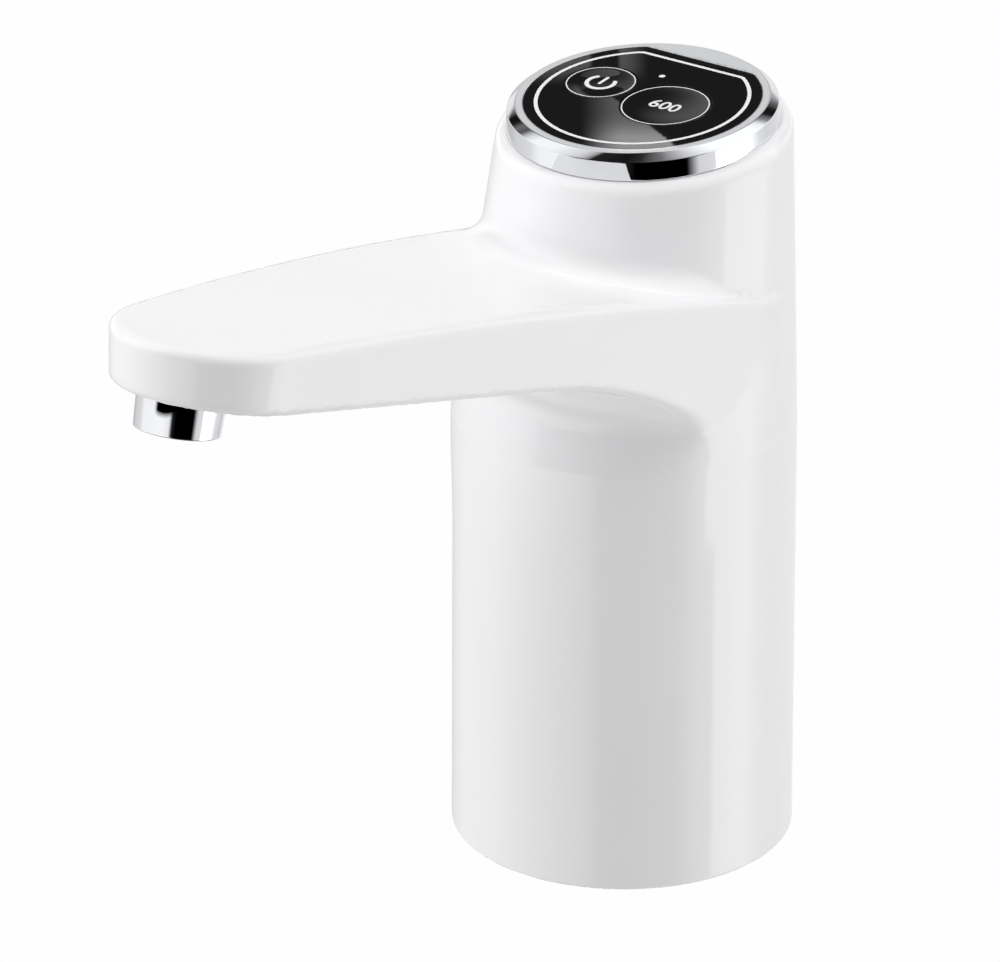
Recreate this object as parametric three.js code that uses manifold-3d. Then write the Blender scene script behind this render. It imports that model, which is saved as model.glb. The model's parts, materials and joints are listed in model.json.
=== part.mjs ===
// Desktop water jug pump shaped like a basin tap, millimetres, Z up, spout towards -Y.
import * as THREE from 'three';
import { mergeVertices, toCreasedNormals } from 'three/addons/utils/BufferGeometryUtils.js';
import Module from 'manifold-3d';

// Body
const bodyRadius = 37;
const bodyTaper = 0.45;
const shoulderHeight = 96;
const lipRadius = 31.35;
const bodyWall = 2.4;
const baseChamfer = 0.8;
const lipRound = 2.4;
const ledgeStep = 1;
const grooveHeight = 1.3;
const grooveWidth = 1.3;
const panelSlope = 0.091;
const panelShift = 5.45;
const panelHeight = 164.9;

// Spout arm
const tipRadius = 21.6;
const tipReach = 138.5;
const armDrop = 34.8;
const armDepth = 17.5;
const armTopSlope = 0.285;
const armTopBend = 2380;
const armUnderSlope = 0.254;
const armEdgeRound = 2.2;
const armDraft = 1.2;
const armTipLean = 2.3;
const armWall = 2.4;
const armFloor = 2.8;
const rootDive = 2.6;
const rootWrap = 0.35;
const topFillet = 5;
const sweepReach = 34;
const sweepDrop = 27;

// Spout underside cover
const coverStart = 74;
const coverEnd = 130;
const coverMargin = 5.4;
const coverThick = 1.5;
const coverLedge = 1.8;

// Nozzle
const nozzleOffset = 10;
const nozzleRadius = 8.9;
const nozzleTaper = 0.25;
const nozzleDrop = 6.8;
const nozzleInset = 1.4;
const nozzleNeck = 6.4;
const nozzleWall = 1.5;
const nozzleNeckTop = 6.6;
const sealTall = 1;
const sealDeep = 0.5;
const rimWidth = 1.45;
const aeratorDepth = 5.4;
const aeratorWall = 1;
const aeratorHole = 1.1;
const elbowWall = 1.6;
const elbowSpout = 5.9;
const elbowReach = 15.5;

// Trim ring and control panel
const ringInset = 2.45;
const ringChamfer = 2.1;
const ringChamferDrop = 1.6;
const ringBand = 1.7;
const ringHeight = 5.6;
const ringFlange = 3.1;
const panelFlat = 4;
const panelCorner = 2.4;
const panelThick = 2;
const panelDrop = 0.2;
const seatLedge = 3;
const trayInset = 1.4;
const traySkirt = 9.4;
const powerX = -12;
const powerY = 1.8;
const powerRadius = 7.7;
const doseX = 6.4;
const doseY = -0.8;
const doseRadius = 9.6;
const lightX = -2.6;
const lightY = 10.8;
const lightRadius = 0.75;
const buttonLip = 0.45;
const buttonTravel = 0.6;
const buttonDish = 0.35;
const stemRadius = 1.6;

// Control board
const boardDrop = 11.2;
const boardThick = 1.6;
const boardMargin = 2.5;
const plugLong = 9.6;
const plugWide = 4.8;
const plugTall = 3.2;
const switchWide = 6;
const switchHeight = 3.3;
const plungerRadius = 1.7;

// Neck collar
const flangeWidth = 3.2;
const collarWall = 2.3;
const collarDepth = 38;
const collarRoof = 3;
const collarLift = 0.8;
const beadReach = 0.3;
const collarGrip = 6;
const ribPitch = 4.8;
const ribDeep = 0.64;
const seatPadWidth = 6.7;
const screwInset = 6;
const collarScrewY = -2;
const collarScrewBack = 4;

// Inlet connector
const connectorRadius = 4;
const connectorRise = 11;
const connectorDrop = 3;
const connectorReach = 11;
const connectorBore = 1.6;
const dipRadius = 3;
const dipLong = 11.6;
const dipBarb = 0.5;

// Pump stack
const pumpRoomShare = 0.27;
const canRadius = 12.2;
const canRise = 15;
const canTall = 30;
const canWall = 0.8;
const shaftRadius = 1;
const baseTall = 17.5;
const pumpRadius = 13;
const nodeRise = 2.5;
const crankOffset = 2;
const earReach = 14.6;
const earRadius = 3;
const portSpread = 6.4;
const portRise = 3.8;
const pumpCapRise = 10.5;
const armatureRadius = 9.6;
const crankTall = 4.3;
const crankRadius = 5;
const pinRadius = 0.75;
const pinLength = 7.5;
const lobeReach = 6.4;
const lobeRadius = 2.8;
const swashLow = 6;
const swashThick = 1.8;
const swashHub = 2.6;

// Battery
const cellRadius = 9.2;
const cellLength = 65;
const cellTip = 3.1;
const cellShoulder = 1;
const holderWall = 1.7;
const cellRoomShare = 0.36;
const contactRadius = 5.5;
const contactThick = 0.4;

// Hoses
const hoseRadius = 2.9;
const hoseBore = 1.9;
const barbRadius = 1.6;
const barbBore = 0.9;
const hoseSide = 18;
const hoseBack = 4;

// Charging socket
const socketRise = 21;
const socketWide = 9;
const socketTall = 3.4;
const socketDeep = 6.4;
const socketBack = 1;
const shelfTall = 1.2;
const chargeWide = 16.2;
const chargeThick = 0.8;

// Shared fits and small sizes
const gap = 0.3;
const tight = 0.15;
const touch = 0.1;
const overrun = 1;
const sheet = 0.5;
const plate = 1.6;
const deck = 2.4;
const bossTall = 3.2;
const screwRadius = 1.1;
const screwHead = 2.3;
const screwHeadTall = 1.5;
const screwLength = 7;
const creaseAngle = 0.6;
const roundSegments = 8;
const smallSegments = 6;
const midSegments = 20;
const fineSegments = 44;

// Radii and places that follow the sizes above
const tilt = Math.atan(panelSlope);
const shoulderRadius = bodyRadius - bodyTaper;
const innerRadius = bodyRadius - bodyWall - ledgeStep;
const armTopRoot = panelHeight - armDrop;
const armUnderRoot = armTopRoot - armDepth;
const nozzleTipRadius = nozzleRadius - nozzleTaper;
const nozzleBore = nozzleNeck - nozzleWall;
const aeratorSeat = nozzleTipRadius - rimWidth;
const elbowRadius = nozzleNeck + elbowWall;
const elbowTop = nozzleNeckTop + plate;
const ringRadius = lipRadius - ringInset;
const ringFaceRadius = ringRadius - ringChamfer;
const panelRadius = ringFaceRadius - ringBand;
const panelChord = panelRadius - panelFlat;
const seatBore = ringRadius - seatLedge;
const trayFlange = ringRadius - trayInset;
const boardRadius = seatBore - boardMargin;
const collarFlange = bodyRadius - bodyWall - gap - touch;
const collarOuter = collarFlange - flangeWidth;
const neckRadius = collarOuter - collarWall;
const seatPadInner = neckRadius - seatPadWidth;
const collarScrewX = seatPadInner - screwInset;
const roofTop = collarDepth + collarRoof;
const deckLow = roofTop + gap;
const deckTop = deckLow + deck;
const connectorTop = roofTop + connectorRise;
const connectorSpout = connectorTop - connectorDrop;
const socketHeight = roofTop + socketRise;
const canBottom = roofTop + canRise;
const canTop = canBottom + canTall;
const towerRadius = canRadius + gap + plate;
const baseTop = canTop + baseTall;
const nodeHeight = baseTop + nodeRise;
const capTop = baseTop + pumpCapRise;
const holderFloor = deckTop + gap;
const cellBottom = holderFloor + plate + contactThick + touch * 2;
const holderInner = cellRadius + gap;
const holderOuter = holderInner + holderWall;
const spareRoom = (innerRadius - towerRadius - holderOuter) * 2;
const pumpY = towerRadius + spareRoom * pumpRoomShare - innerRadius;
const cellY = innerRadius - spareRoom * cellRoomShare - holderOuter;
const seatY = panelShift + ringHeight * Math.sin(tilt);
const seatZ = panelHeight - ringHeight * Math.cos(tilt);
const lipY = seatY + lipRound * Math.sin(tilt);
const lipZ = seatZ - lipRound * Math.cos(tilt);

const wasm = await Module();
wasm.setup();

const white = new THREE.MeshStandardMaterial({ color: 0xf3f4f5, roughness: 0.28, metalness: 0 });
const chrome = new THREE.MeshStandardMaterial({ color: 0xd9dadc, roughness: 0.06, metalness: 1 });
const black = new THREE.MeshStandardMaterial({ color: 0x0b0c0d, roughness: 0.08, metalness: 0 });
const dark = new THREE.MeshStandardMaterial({ color: 0x202225, roughness: 0.5, metalness: 0 });
const grey = new THREE.MeshStandardMaterial({ color: 0x9a9c9f, roughness: 0.5, metalness: 0 });
const clear = new THREE.MeshStandardMaterial({ color: 0xdfe3e4, roughness: 0.35, metalness: 0 });
const steel = new THREE.MeshStandardMaterial({ color: 0xb9bcc0, roughness: 0.3, metalness: 1 });
const green = new THREE.MeshStandardMaterial({ color: 0x1d5b35, roughness: 0.5, metalness: 0 });
const blue = new THREE.MeshStandardMaterial({ color: 0x2f62a8, roughness: 0.4, metalness: 0 });
const lamp = new THREE.MeshStandardMaterial({ color: 0xf8f8f4, roughness: 0.3, metalness: 0 });

const group = new THREE.Group();
group.name = 'electric_water_jug_pump';

// Solid helpers
function signedVolume(geometry) {
  const p = geometry.attributes.position;
  const index = geometry.index;
  const a = new THREE.Vector3();
  const b = new THREE.Vector3();
  const c = new THREE.Vector3();
  let volume = 0;
  for (let i = 0; i < index.count; i += 3) {
    a.fromBufferAttribute(p, index.getX(i));
    b.fromBufferAttribute(p, index.getX(i + 1));
    c.fromBufferAttribute(p, index.getX(i + 2));
    volume += a.dot(b.cross(c));
  }
  return volume;
}

function solid(geometry) {
  const bare = geometry.clone();
  bare.deleteAttribute('normal');
  bare.deleteAttribute('uv');
  const merged = mergeVertices(bare);
  const triVerts = Uint32Array.from(merged.index.array);
  if (signedVolume(merged) < 0) {
    triVerts.reverse();
  }
  const vertProperties = Float32Array.from(merged.attributes.position.array);
  return new wasm.Manifold(new wasm.Mesh({ numProp: 3, vertProperties, triVerts }));
}

function join(...bodies) {
  return bodies.reduce((sum, body) => sum.add(body));
}

function cut(body, ...tools) {
  return tools.reduce((rest, tool) => rest.subtract(tool), body);
}

function add(name, body, material) {
  const mesh = body.getMesh();
  const geometry = new THREE.BufferGeometry();
  geometry.setAttribute('position', new THREE.BufferAttribute(Float32Array.from(mesh.vertProperties), 3));
  geometry.setIndex(new THREE.BufferAttribute(Uint32Array.from(mesh.triVerts), 1));
  const part = new THREE.Mesh(toCreasedNormals(geometry, creaseAngle), material);
  part.name = name;
  group.add(part);
}

function spin(points, segments = roundSegments) {
  const profile = points.map(([r, h]) => new THREE.Vector2(r, h));
  profile.push(profile[0].clone());
  return solid(new THREE.LatheGeometry(profile, segments).rotateX(Math.PI / 2));
}

function disc(radius, low, high, segments = roundSegments) {
  const round = new THREE.CylinderGeometry(radius, radius, high - low, segments);
  return solid(round.rotateX(Math.PI / 2).translate(0, 0, (low + high) / 2));
}

function pipe(outer, inner, low, high, segments = roundSegments) {
  return cut(disc(outer, low, high, segments), disc(inner, low - overrun, high + overrun, segments));
}

function block(x0, x1, y0, y1, z0, z1) {
  const box = new THREE.BoxGeometry(x1 - x0, y1 - y0, z1 - z0);
  return solid(box.translate((x0 + x1) / 2, (y0 + y1) / 2, (z0 + z1) / 2));
}

function slabOf(shape, low, high) {
  const options = { depth: high - low, bevelEnabled: false, curveSegments: midSegments / 2 };
  return solid(new THREE.ExtrudeGeometry(shape, options).translate(0, 0, low));
}

function turned(body, rx, ry = 0, rz = 0) {
  const degrees = [rx, ry, rz].map((angle) => THREE.MathUtils.radToDeg(angle));
  return body.rotate(degrees);
}

// Rings of points skinned into one closed solid, with the chosen end caps
function fanCap(ring, start, vertices) {
  const hub = vertices.length / 3;
  const centre = ring.reduce((sum, p) => sum.add(p), new THREE.Vector3()).divideScalar(ring.length);
  vertices.push(centre.x, centre.y, centre.z);
  return ring.map((_, i) => [hub, start + (i + 1) % ring.length, start + i]);
}

function stripCap(ring, start) {
  const last = ring.length - 1;
  const faces = [];
  for (let i = 0; i < last / 2 - 1; i += 1) {
    faces.push([start + i, start + last - i, start + i + 1]);
    faces.push([start + i + 1, start + last - i, start + last - i - 1]);
  }
  faces.push([start + last / 2 - 1, start + last / 2 + 1, start + last / 2]);
  return faces;
}

function skin(rings, cap) {
  const count = rings[0].length;
  const vertices = rings.flat().flatMap(p => [p.x, p.y, p.z]);
  const faces = cap(rings[0], 0, vertices);
  for (let k = 0; k < rings.length - 1; k += 1) {
    for (let i = 0; i < count; i += 1) {
      const j = (i + 1) % count;
      const a = k * count + i;
      const b = k * count + j;
      faces.push([a, b, b + count], [a, b + count, a + count]);
    }
  }
  const end = cap(rings[rings.length - 1], (rings.length - 1) * count, vertices);
  faces.push(...end.map(([a, b, c]) => [a, c, b]));
  const geometry = new THREE.BufferGeometry();
  geometry.setAttribute('position', new THREE.Float32BufferAttribute(vertices, 3));
  geometry.setIndex(faces.flat());
  return solid(geometry);
}

// Body shell
function bodyShare(z) {
  return (z - shoulderHeight) / (lipZ - shoulderHeight);
}

function bodyR(z) {
  const share = bodyShare(z);
  if (share <= 0) {
    return bodyRadius + (shoulderRadius - bodyRadius) * z / shoulderHeight;
  }
  return shoulderRadius + (lipRadius - shoulderRadius) * share;
}

function bodyY(z) {
  return lipY * Math.max(0, bodyShare(z));
}

function ring(y, z, radius, angle, segments = fineSegments) {
  const points = [];
  for (let i = 0; i < segments; i += 1) {
    const a = 2 * Math.PI * i / segments;
    const along = radius * Math.sin(a);
    const offset = new THREE.Vector3(radius * Math.cos(a), along * Math.cos(angle), along * Math.sin(angle));
    points.push(offset.add(new THREE.Vector3(0, y, z)));
  }
  return points;
}

function bodyOutside() {
  const rings = [
    ring(0, 0, bodyRadius - baseChamfer, 0),
    ring(0, baseChamfer, bodyR(baseChamfer), 0),
    ring(0, shoulderHeight, shoulderRadius, 0),
  ];
  for (let k = 1; k <= 3; k += 1) {
    const share = k / 3;
    const z = shoulderHeight + (lipZ - shoulderHeight) * share;
    rings.push(ring(lipY * share, z, bodyR(z), tilt * share));
  }
  for (let k = 1; k <= 3; k += 1) {
    const a = Math.PI / 2 * k / 3;
    const h = lipRound * Math.sin(a);
    const radius = lipRadius - lipRound * (1 - Math.cos(a));
    rings.push(ring(lipY - h * Math.sin(tilt), lipZ + h * Math.cos(tilt), radius, tilt));
  }
  return skin(rings, fanCap);
}

function bodyInside() {
  const inset = bodyWall + ledgeStep;
  const low = skin([
    ring(0, -overrun, bodyRadius - bodyWall, 0, midSegments),
    ring(0, holderFloor, bodyRadius - bodyWall, 0, midSegments),
  ], fanCap);
  const high = skin([
    ring(0, holderFloor - overrun, bodyR(holderFloor) - inset, 0, midSegments),
    ring(0, shoulderHeight, shoulderRadius - inset, 0, midSegments),
    ring(lipY, lipZ, lipRadius - inset, tilt, midSegments),
  ], fanCap);
  const mouth = skin([
    ring(lipY + overrun * Math.sin(tilt), lipZ - overrun * Math.cos(tilt), seatBore, tilt, midSegments),
    ring(seatY - overrun * Math.sin(tilt), seatZ + overrun * Math.cos(tilt), seatBore, tilt, midSegments),
  ], fanCap);
  return join(low, high, mouth);
}

// Arm surfaces
function armTop(y) {
  return armTopRoot - armTopSlope * y - y * y / armTopBend;
}

function armUnder(y) {
  return armUnderRoot - armUnderSlope * y;
}

// Arm outline, half given and half mirrored: round the body, along the side, round the tip
function armOutline(rootR, rootY, tipR, reach) {
  const gamma = Math.asin((rootR - tipR) / (reach + rootY));
  const half = [[(rootR - rootDive - overrun) * Math.cos(rootWrap), rootY + rootR * Math.sin(rootWrap)]];
  for (let i = 4; i > 0; i -= 1) {
    const share = i / 4;
    const a = rootWrap * share - gamma * (1 - share);
    const radius = rootR - rootDive * share * share;
    half.push([radius * Math.cos(a), rootY + radius * Math.sin(a)]);
  }
  for (let i = 0; i < 5; i += 1) {
    const share = i / 5;
    const radius = rootR + (tipR - rootR) * share;
    const centre = rootY - (reach + rootY) * share;
    half.push([radius * Math.cos(gamma), centre - radius * Math.sin(gamma)]);
  }
  for (let i = 0; i <= 9; i += 1) {
    const a = gamma + (Math.PI / 2 - gamma) * i / 9;
    half.push([tipR * Math.cos(a), -reach - tipR * Math.sin(a)]);
  }
  const mirrored = half.slice(0, -1).reverse().map(([x, y]) => [-x, y]);
  return half.concat(mirrored);
}

function armContour(surface, inset, lift, draft, reach) {
  const rootR = bodyR(armUnderRoot) - inset;
  const outline = armOutline(rootR, bodyY(armUnderRoot), tipRadius - inset - draft, reach);
  return outline.map(([x, y]) => new THREE.Vector3(x, y, surface(y) + lift));
}

function armSolid(inset, round, topDrop, floor, steps) {
  const rings = [];
  for (let k = 0; k <= steps; k += 1) {
    const a = Math.PI / 2 * k / steps;
    const t = inset + round * (1 - Math.sin(a));
    rings.push(armContour(armUnder, t, floor + round * (1 - Math.cos(a)), armDraft, tipReach));
  }
  for (let k = 0; k <= steps; k += 1) {
    const a = Math.PI / 2 * k / steps;
    const t = inset + round * (1 - Math.cos(a));
    rings.push(armContour(armTop, t, -topDrop - round * (1 - Math.sin(a)), 0, tipReach - armTipLean));
  }
  return skin(rings, stripCap);
}

// Ring round the body wall that follows one arm surface
function wallRing(surface, offset, flare) {
  const points = [];
  for (let i = 0; i < fineSegments; i += 1) {
    const a = 2 * Math.PI * i / fineSegments;
    const [out, lift] = [flare(a), offset(a)];
    let z = surface(-bodyRadius * Math.sin(-a)) + lift;
    let y = 0;
    for (let k = 0; k < 12; k += 1) {
      y = bodyY(z) + (bodyR(z) + out) * Math.sin(a);
      z = surface(y) + lift;
    }
    points.push(new THREE.Vector3((bodyR(z) + out) * Math.cos(a), y, z));
  }
  return points;
}

// Share of the upper fillet at one place round the body, none at the sides
function frontShare(a) {
  const fromFront = Math.abs(a - Math.PI * 1.5);
  const share = THREE.MathUtils.clamp((1.45 - fromFront) / 0.45, 0, 1);
  return share * share * (3 - 2 * share);
}

function upperFillet() {
  const rings = [wallRing(armTop, () => -topFillet / 2, a => topFillet * frontShare(a))];
  for (let k = 0; k <= 4; k += 1) {
    const t = Math.PI / 2 * k / 4;
    const rise = a => topFillet * frontShare(a) * (1 - Math.cos(t)) - touch;
    rings.push(wallRing(armTop, rise, a => topFillet * frontShare(a) * (1 - Math.sin(t)) - touch));
  }
  return skin(rings, fanCap);
}

function lowerSweep() {
  const rings = [wallRing(armUnder, () => armEdgeRound, () => sweepReach)];
  for (let k = 0; k <= 6; k += 1) {
    const t = Math.PI / 2 * k / 6;
    const drop = sweepDrop * (1 - Math.cos(t));
    const reach = sweepReach * (1 - Math.sin(t));
    rings.push(wallRing(armUnder, () => -drop, () => reach));
  }
  const contour = armContour(armUnder, armEdgeRound / 4, 0, armDraft, tipReach);
  const shape = new THREE.Shape(contour.map(p => new THREE.Vector2(p.x, p.y)));
  return skin(rings.reverse(), fanCap).intersect(slabOf(shape, 0, armUnder(-tipReach)));
}

// Placement frames of the nozzle and of the panel
const underAngle = -Math.atan(armUnderSlope);
const nozzleY = -tipReach - nozzleOffset;

function atNozzle(body) {
  return turned(body, underAngle).translate([0, nozzleY, armUnder(nozzleY)]);
}

function nozzlePoint(y, z) {
  const point = new THREE.Vector3(0, y, z).applyAxisAngle(new THREE.Vector3(1, 0, 0), underAngle);
  return point.add(new THREE.Vector3(0, nozzleY, armUnder(nozzleY)));
}

function atPanel(body) {
  return turned(body, tilt).translate([0, panelShift, panelHeight]);
}

// Spout cover and the pocket it sits in
function coverShape(grow) {
  const wide = y => bodyR(armUnderRoot) + (tipRadius - bodyR(armUnderRoot)) * -y / tipReach - coverMargin;
  const shape = new THREE.Shape();
  shape.moveTo(wide(-coverStart) + grow, -coverStart + grow);
  shape.lineTo(-wide(-coverStart) - grow, -coverStart + grow);
  shape.lineTo(-wide(-coverEnd) - grow, -coverEnd - grow);
  shape.lineTo(wide(-coverEnd) + grow, -coverEnd - grow);
  return shape;
}

function atUnderside(shape, low, high) {
  const square = slabOf(shape, 0, high - low);
  return square.transform([
    1, 0, 0, 0,
    0, 1, -armUnderSlope, 0,
    0, 0, 1, 0,
    0, 0, armUnderRoot + low, 1,
  ]);
}

// Main housing
function housing() {
  const rear = bodyR(socketHeight);
  const shell = join(bodyOutside(), armSolid(0, armEdgeRound, 0, 0, 3), upperFillet(), lowerSweep());
  const room = join(bodyInside(), armSolid(armWall, armWall / 2, armWall, armFloor, 1));
  const pocket = atUnderside(coverShape(0), -overrun, coverThick + gap);
  const window = atUnderside(coverShape(-coverLedge), 0, armFloor + overrun);
  const nozzleHole = atNozzle(join(
    disc(nozzleRadius + gap, -nozzleDrop, nozzleInset + tight, midSegments),
    disc(nozzleNeck + tight, 0, elbowTop / 2, midSegments),
  ));
  const slot = block(
    -socketWide / 2 - gap, socketWide / 2 + gap, rear - bodyWall - ledgeStep - overrun, rear + overrun,
    socketHeight - socketTall / 2 - gap, socketHeight + socketTall / 2 + gap,
  );
  const bead = bodyRadius - bodyWall + gap;
  const groove = pipe(bead, bead - overrun * 2, grooveHeight, grooveHeight + grooveWidth, fineSegments);
  const shelfTop = socketHeight - socketTall / 2 - chargeThick * 1.5 - gap;
  const shelf = block(
    -chargeWide / 2, chargeWide / 2, rear - bodyWall * 3, rear - bodyWall, shelfTop - shelfTall, shelfTop,
  );
  return join(cut(shell, room, pocket, window, nozzleHole, slot, groove), shelf);
}

// Nozzle pieces
function nozzleParts() {
  const sealLow = nozzleNeckTop - plate - sealTall;
  const sleeve = spin([
    [nozzleBore, -nozzleDrop + aeratorDepth], [aeratorSeat, -nozzleDrop + aeratorDepth],
    [aeratorSeat, -nozzleDrop], [nozzleTipRadius - gap, -nozzleDrop], [nozzleTipRadius, -nozzleDrop + gap],
    [nozzleRadius, 0], [nozzleRadius, nozzleInset], [nozzleNeck, nozzleInset],
    [nozzleNeck, sealLow], [nozzleNeck - sealDeep, sealLow], [nozzleNeck - sealDeep, sealLow + sealTall],
    [nozzleNeck, sealLow + sealTall], [nozzleNeck, nozzleNeckTop], [nozzleBore, nozzleNeckTop],
  ], midSegments);
  add('nozzle_sleeve', atNozzle(sleeve), chrome);
  const seal = pipe(
    nozzleNeck + tight / 2, nozzleNeck - sealDeep + tight / 2,
    sealLow + tight, sealLow + sealTall - tight, midSegments,
  );
  add('nozzle_seal', atNozzle(seal), dark);
  add('aerator_insert', atNozzle(aerator()), clear);
  add('outlet_elbow', atNozzle(outletElbow()), grey);
}

function aerator() {
  const low = -nozzleDrop + gap * 2;
  const outer = aeratorSeat - tight;
  const rim = pipe(outer, outer - aeratorWall, low, low + aeratorDepth - gap * 3, midSegments);
  const floor = disc(outer - aeratorWall / 2, low + aeratorWall, low + aeratorWall * 2, midSegments);
  const holes = [];
  for (let i = 0; i < 8; i += 1) {
    const a = 2 * Math.PI * i / 8;
    const way = disc(aeratorHole, low, low + aeratorWall * 3, smallSegments);
    holes.push(way.translate([aeratorSeat / 2 * Math.cos(a), aeratorSeat / 2 * Math.sin(a), 0]));
  }
  return cut(join(rim, floor), ...holes, disc(aeratorHole, low, low + aeratorWall * 3, smallSegments));
}

function outletElbow() {
  const low = armFloor + tight;
  const sideways = body => turned(body, -Math.PI / 2).translate([0, 0, elbowSpout]);
  const barb = sideways(disc(barbRadius, elbowRadius - elbowWall / 2, elbowReach));
  const way = sideways(disc(barbBore, 0, elbowReach + overrun, smallSegments));
  const cup = cut(
    disc(elbowRadius, low, elbowTop, midSegments),
    disc(nozzleNeck + tight, low - overrun, nozzleNeckTop + gap, midSegments),
  );
  return cut(join(cup, barb), way);
}

// D-shaped outlines of the panel
function dShape(radius, chord) {
  const reach = radius - panelCorner;
  const rise = chord - panelCorner;
  const side = Math.sqrt(reach * reach - rise * rise);
  const angle = Math.atan2(rise, side);
  const arc = (x, y, r, from, to, steps) => Array.from({ length: steps + 1 }, (_, i) => {
    const a = from + (to - from) * i / steps;
    return new THREE.Vector2(x + r * Math.cos(a), y + r * Math.sin(a));
  });
  return new THREE.Shape([
    ...arc(0, 0, radius, Math.PI - angle, Math.PI * 2 + angle, fineSegments / 2),
    ...arc(side, rise, panelCorner, angle, Math.PI / 2, 3).slice(1),
    ...arc(-side, rise, panelCorner, Math.PI / 2, Math.PI - angle, 3).slice(0, -1),
  ]);
}

function hole(shape, x, y, radius) {
  const path = new THREE.Path();
  path.absarc(x, y, radius, 0, Math.PI * 2, true);
  shape.holes.push(path);
}

function trimRing() {
  const bore = trayFlange + tight;
  const inner = panelChord - overrun * 2;
  const [under, low] = [-ringHeight + plate, -ringHeight + tight / 2];
  const outer = spin([
    [inner, under], [bore, under], [bore, low], [ringRadius, low],
    [ringRadius, -ringChamferDrop], [ringFaceRadius, 0], [inner, 0],
  ], fineSegments);
  return cut(outer, slabOf(dShape(panelRadius, panelChord), -ringHeight, overrun));
}

function panelParts() {
  const boardTop = -boardDrop + touch;
  const switchTop = -boardDrop + switchHeight;
  add('trim_ring', atPanel(trimRing()), chrome);
  const face = dShape(panelRadius - tight, panelChord - tight);
  hole(face, powerX, powerY, powerRadius + tight);
  hole(face, doseX, doseY, doseRadius + tight);
  hole(face, lightX, lightY, lightRadius + tight);
  add('control_panel', atPanel(slabOf(face, -panelDrop - panelThick, -panelDrop)), black);
  const buttons = [['power', powerX, powerY, powerRadius], ['dose', doseX, doseY, doseRadius]];
  for (const [name, x, y, radius] of buttons) {
    const place = body => atPanel(body.translate([x, y, 0]));
    const half = switchWide / 2;
    const seat = switchTop - plate;
    add(`${name}_button`, place(buttonCap(radius)), black);
    add(`${name}_plunger`, place(disc(plungerRadius, seat + gap, switchTop + sheet)), grey);
    const box = block(-half, half, -half, half, boardTop, switchTop);
    add(`${name}_switch`, place(cut(box, disc(plungerRadius + tight, seat - buttonTravel, 0))), dark);
  }
  const atLight = body => atPanel(body.translate([lightX, lightY, 0]));
  add('status_light', atLight(disc(lightRadius, boardTop + plate, -panelDrop)), lamp);
  const chip = block(-lightRadius, lightRadius, -sheet, sheet, boardTop, boardTop + plate - gap);
  add('status_led', atLight(chip), lamp);
  add('button_tray', atPanel(buttonTray()), dark);
  add('control_board', atPanel(controlBoard()), green);
  for (const [i, letter] of ['a', 'b', 'c'].entries()) {
    const [x, y] = boardScrew(i);
    const low = -boardDrop - boardThick - tight;
    const screw = join(
      disc(screwHead, low - screwHeadTall, low),
      disc(screwRadius, low - tight, low + boardThick + bossTall, smallSegments),
    );
    add(`board_screw_${letter}`, atPanel(screw.translate([x, y, 0])), steel);
  }
}

function boardScrew(i) {
  const a = Math.PI * (2 * i / 3 - 0.5);
  const reach = boardRadius - screwHead - screwRadius;
  return [reach * Math.cos(a), reach * Math.sin(a)];
}

function buttonCap(radius) {
  const top = -panelDrop - touch;
  const under = -panelDrop - panelThick - gap;
  const stemEnd = -boardDrop + switchHeight + sheet + touch;
  return spin([
    [0, top - buttonDish], [radius * 0.5, top - buttonDish * 0.75], [radius * 0.85, top - buttonDish * 0.28],
    [radius - gap, top], [radius, top - gap], [radius, under], [radius + buttonLip, under],
    [radius + buttonLip, under - buttonTravel], [stemRadius, under - buttonTravel],
    [stemRadius, stemEnd], [0, stemEnd],
  ], midSegments);
}

function buttonTray() {
  const skirt = seatBore - gap;
  const top = -ringHeight + plate - tight;
  const low = top - plate;
  const dish = spin([
    [0, low], [skirt - plate, low], [skirt - plate, -traySkirt], [skirt, -traySkirt],
    [skirt, -ringHeight + tight], [trayFlange, -ringHeight + tight], [trayFlange, top], [0, top],
  ], midSegments);
  const rimTop = -panelDrop - panelThick - touch;
  const rim = cut(
    slabOf(dShape(panelRadius - tight, panelChord - tight), top - plate / 2, rimTop),
    slabOf(dShape(panelRadius - plate, panelChord - plate), top, 0),
  );
  const atScrews = body => [0, 1, 2].map(i => body.translate([...boardScrew(i), 0]));
  const bosses = atScrews(disc(screwHead, -boardDrop + touch, top - plate / 2));
  const pilots = atScrews(disc(screwRadius + tight, -boardDrop - overrun, top - plate / 2, smallSegments));
  const way = disc(stemRadius + gap, low - overrun, top + overrun);
  const stems = [[powerX, powerY], [doseX, doseY]].map(([x, y]) => way.translate([x, y, 0]));
  const light = disc(lightRadius + gap, low - overrun, top + overrun).translate([lightX, lightY, 0]);
  return cut(join(dish, rim, ...bosses), ...pilots, ...stems, light);
}

function controlBoard() {
  const under = -boardDrop - boardThick;
  const holes = [0, 1, 2].map(i => {
    return disc(screwRadius + tight, under - overrun, 0, smallSegments).translate([...boardScrew(i), 0]);
  });
  const board = disc(boardRadius, under, -boardDrop, midSegments);
  const half = plugLong / 2;
  const plug = block(-half, half, plate, plate + plugWide, under - plugTall, -boardDrop - sheet);
  return cut(join(board, plug), ...holes);
}

// Bottle neck side
const collarScrews = [
  [collarScrewX, collarScrewY], [-collarScrewX, collarScrewY], [0, pumpY - collarScrewBack],
];

function atCollarScrews(body) {
  return collarScrews.map(([x, y]) => body.translate([x, y, 0]));
}

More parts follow.
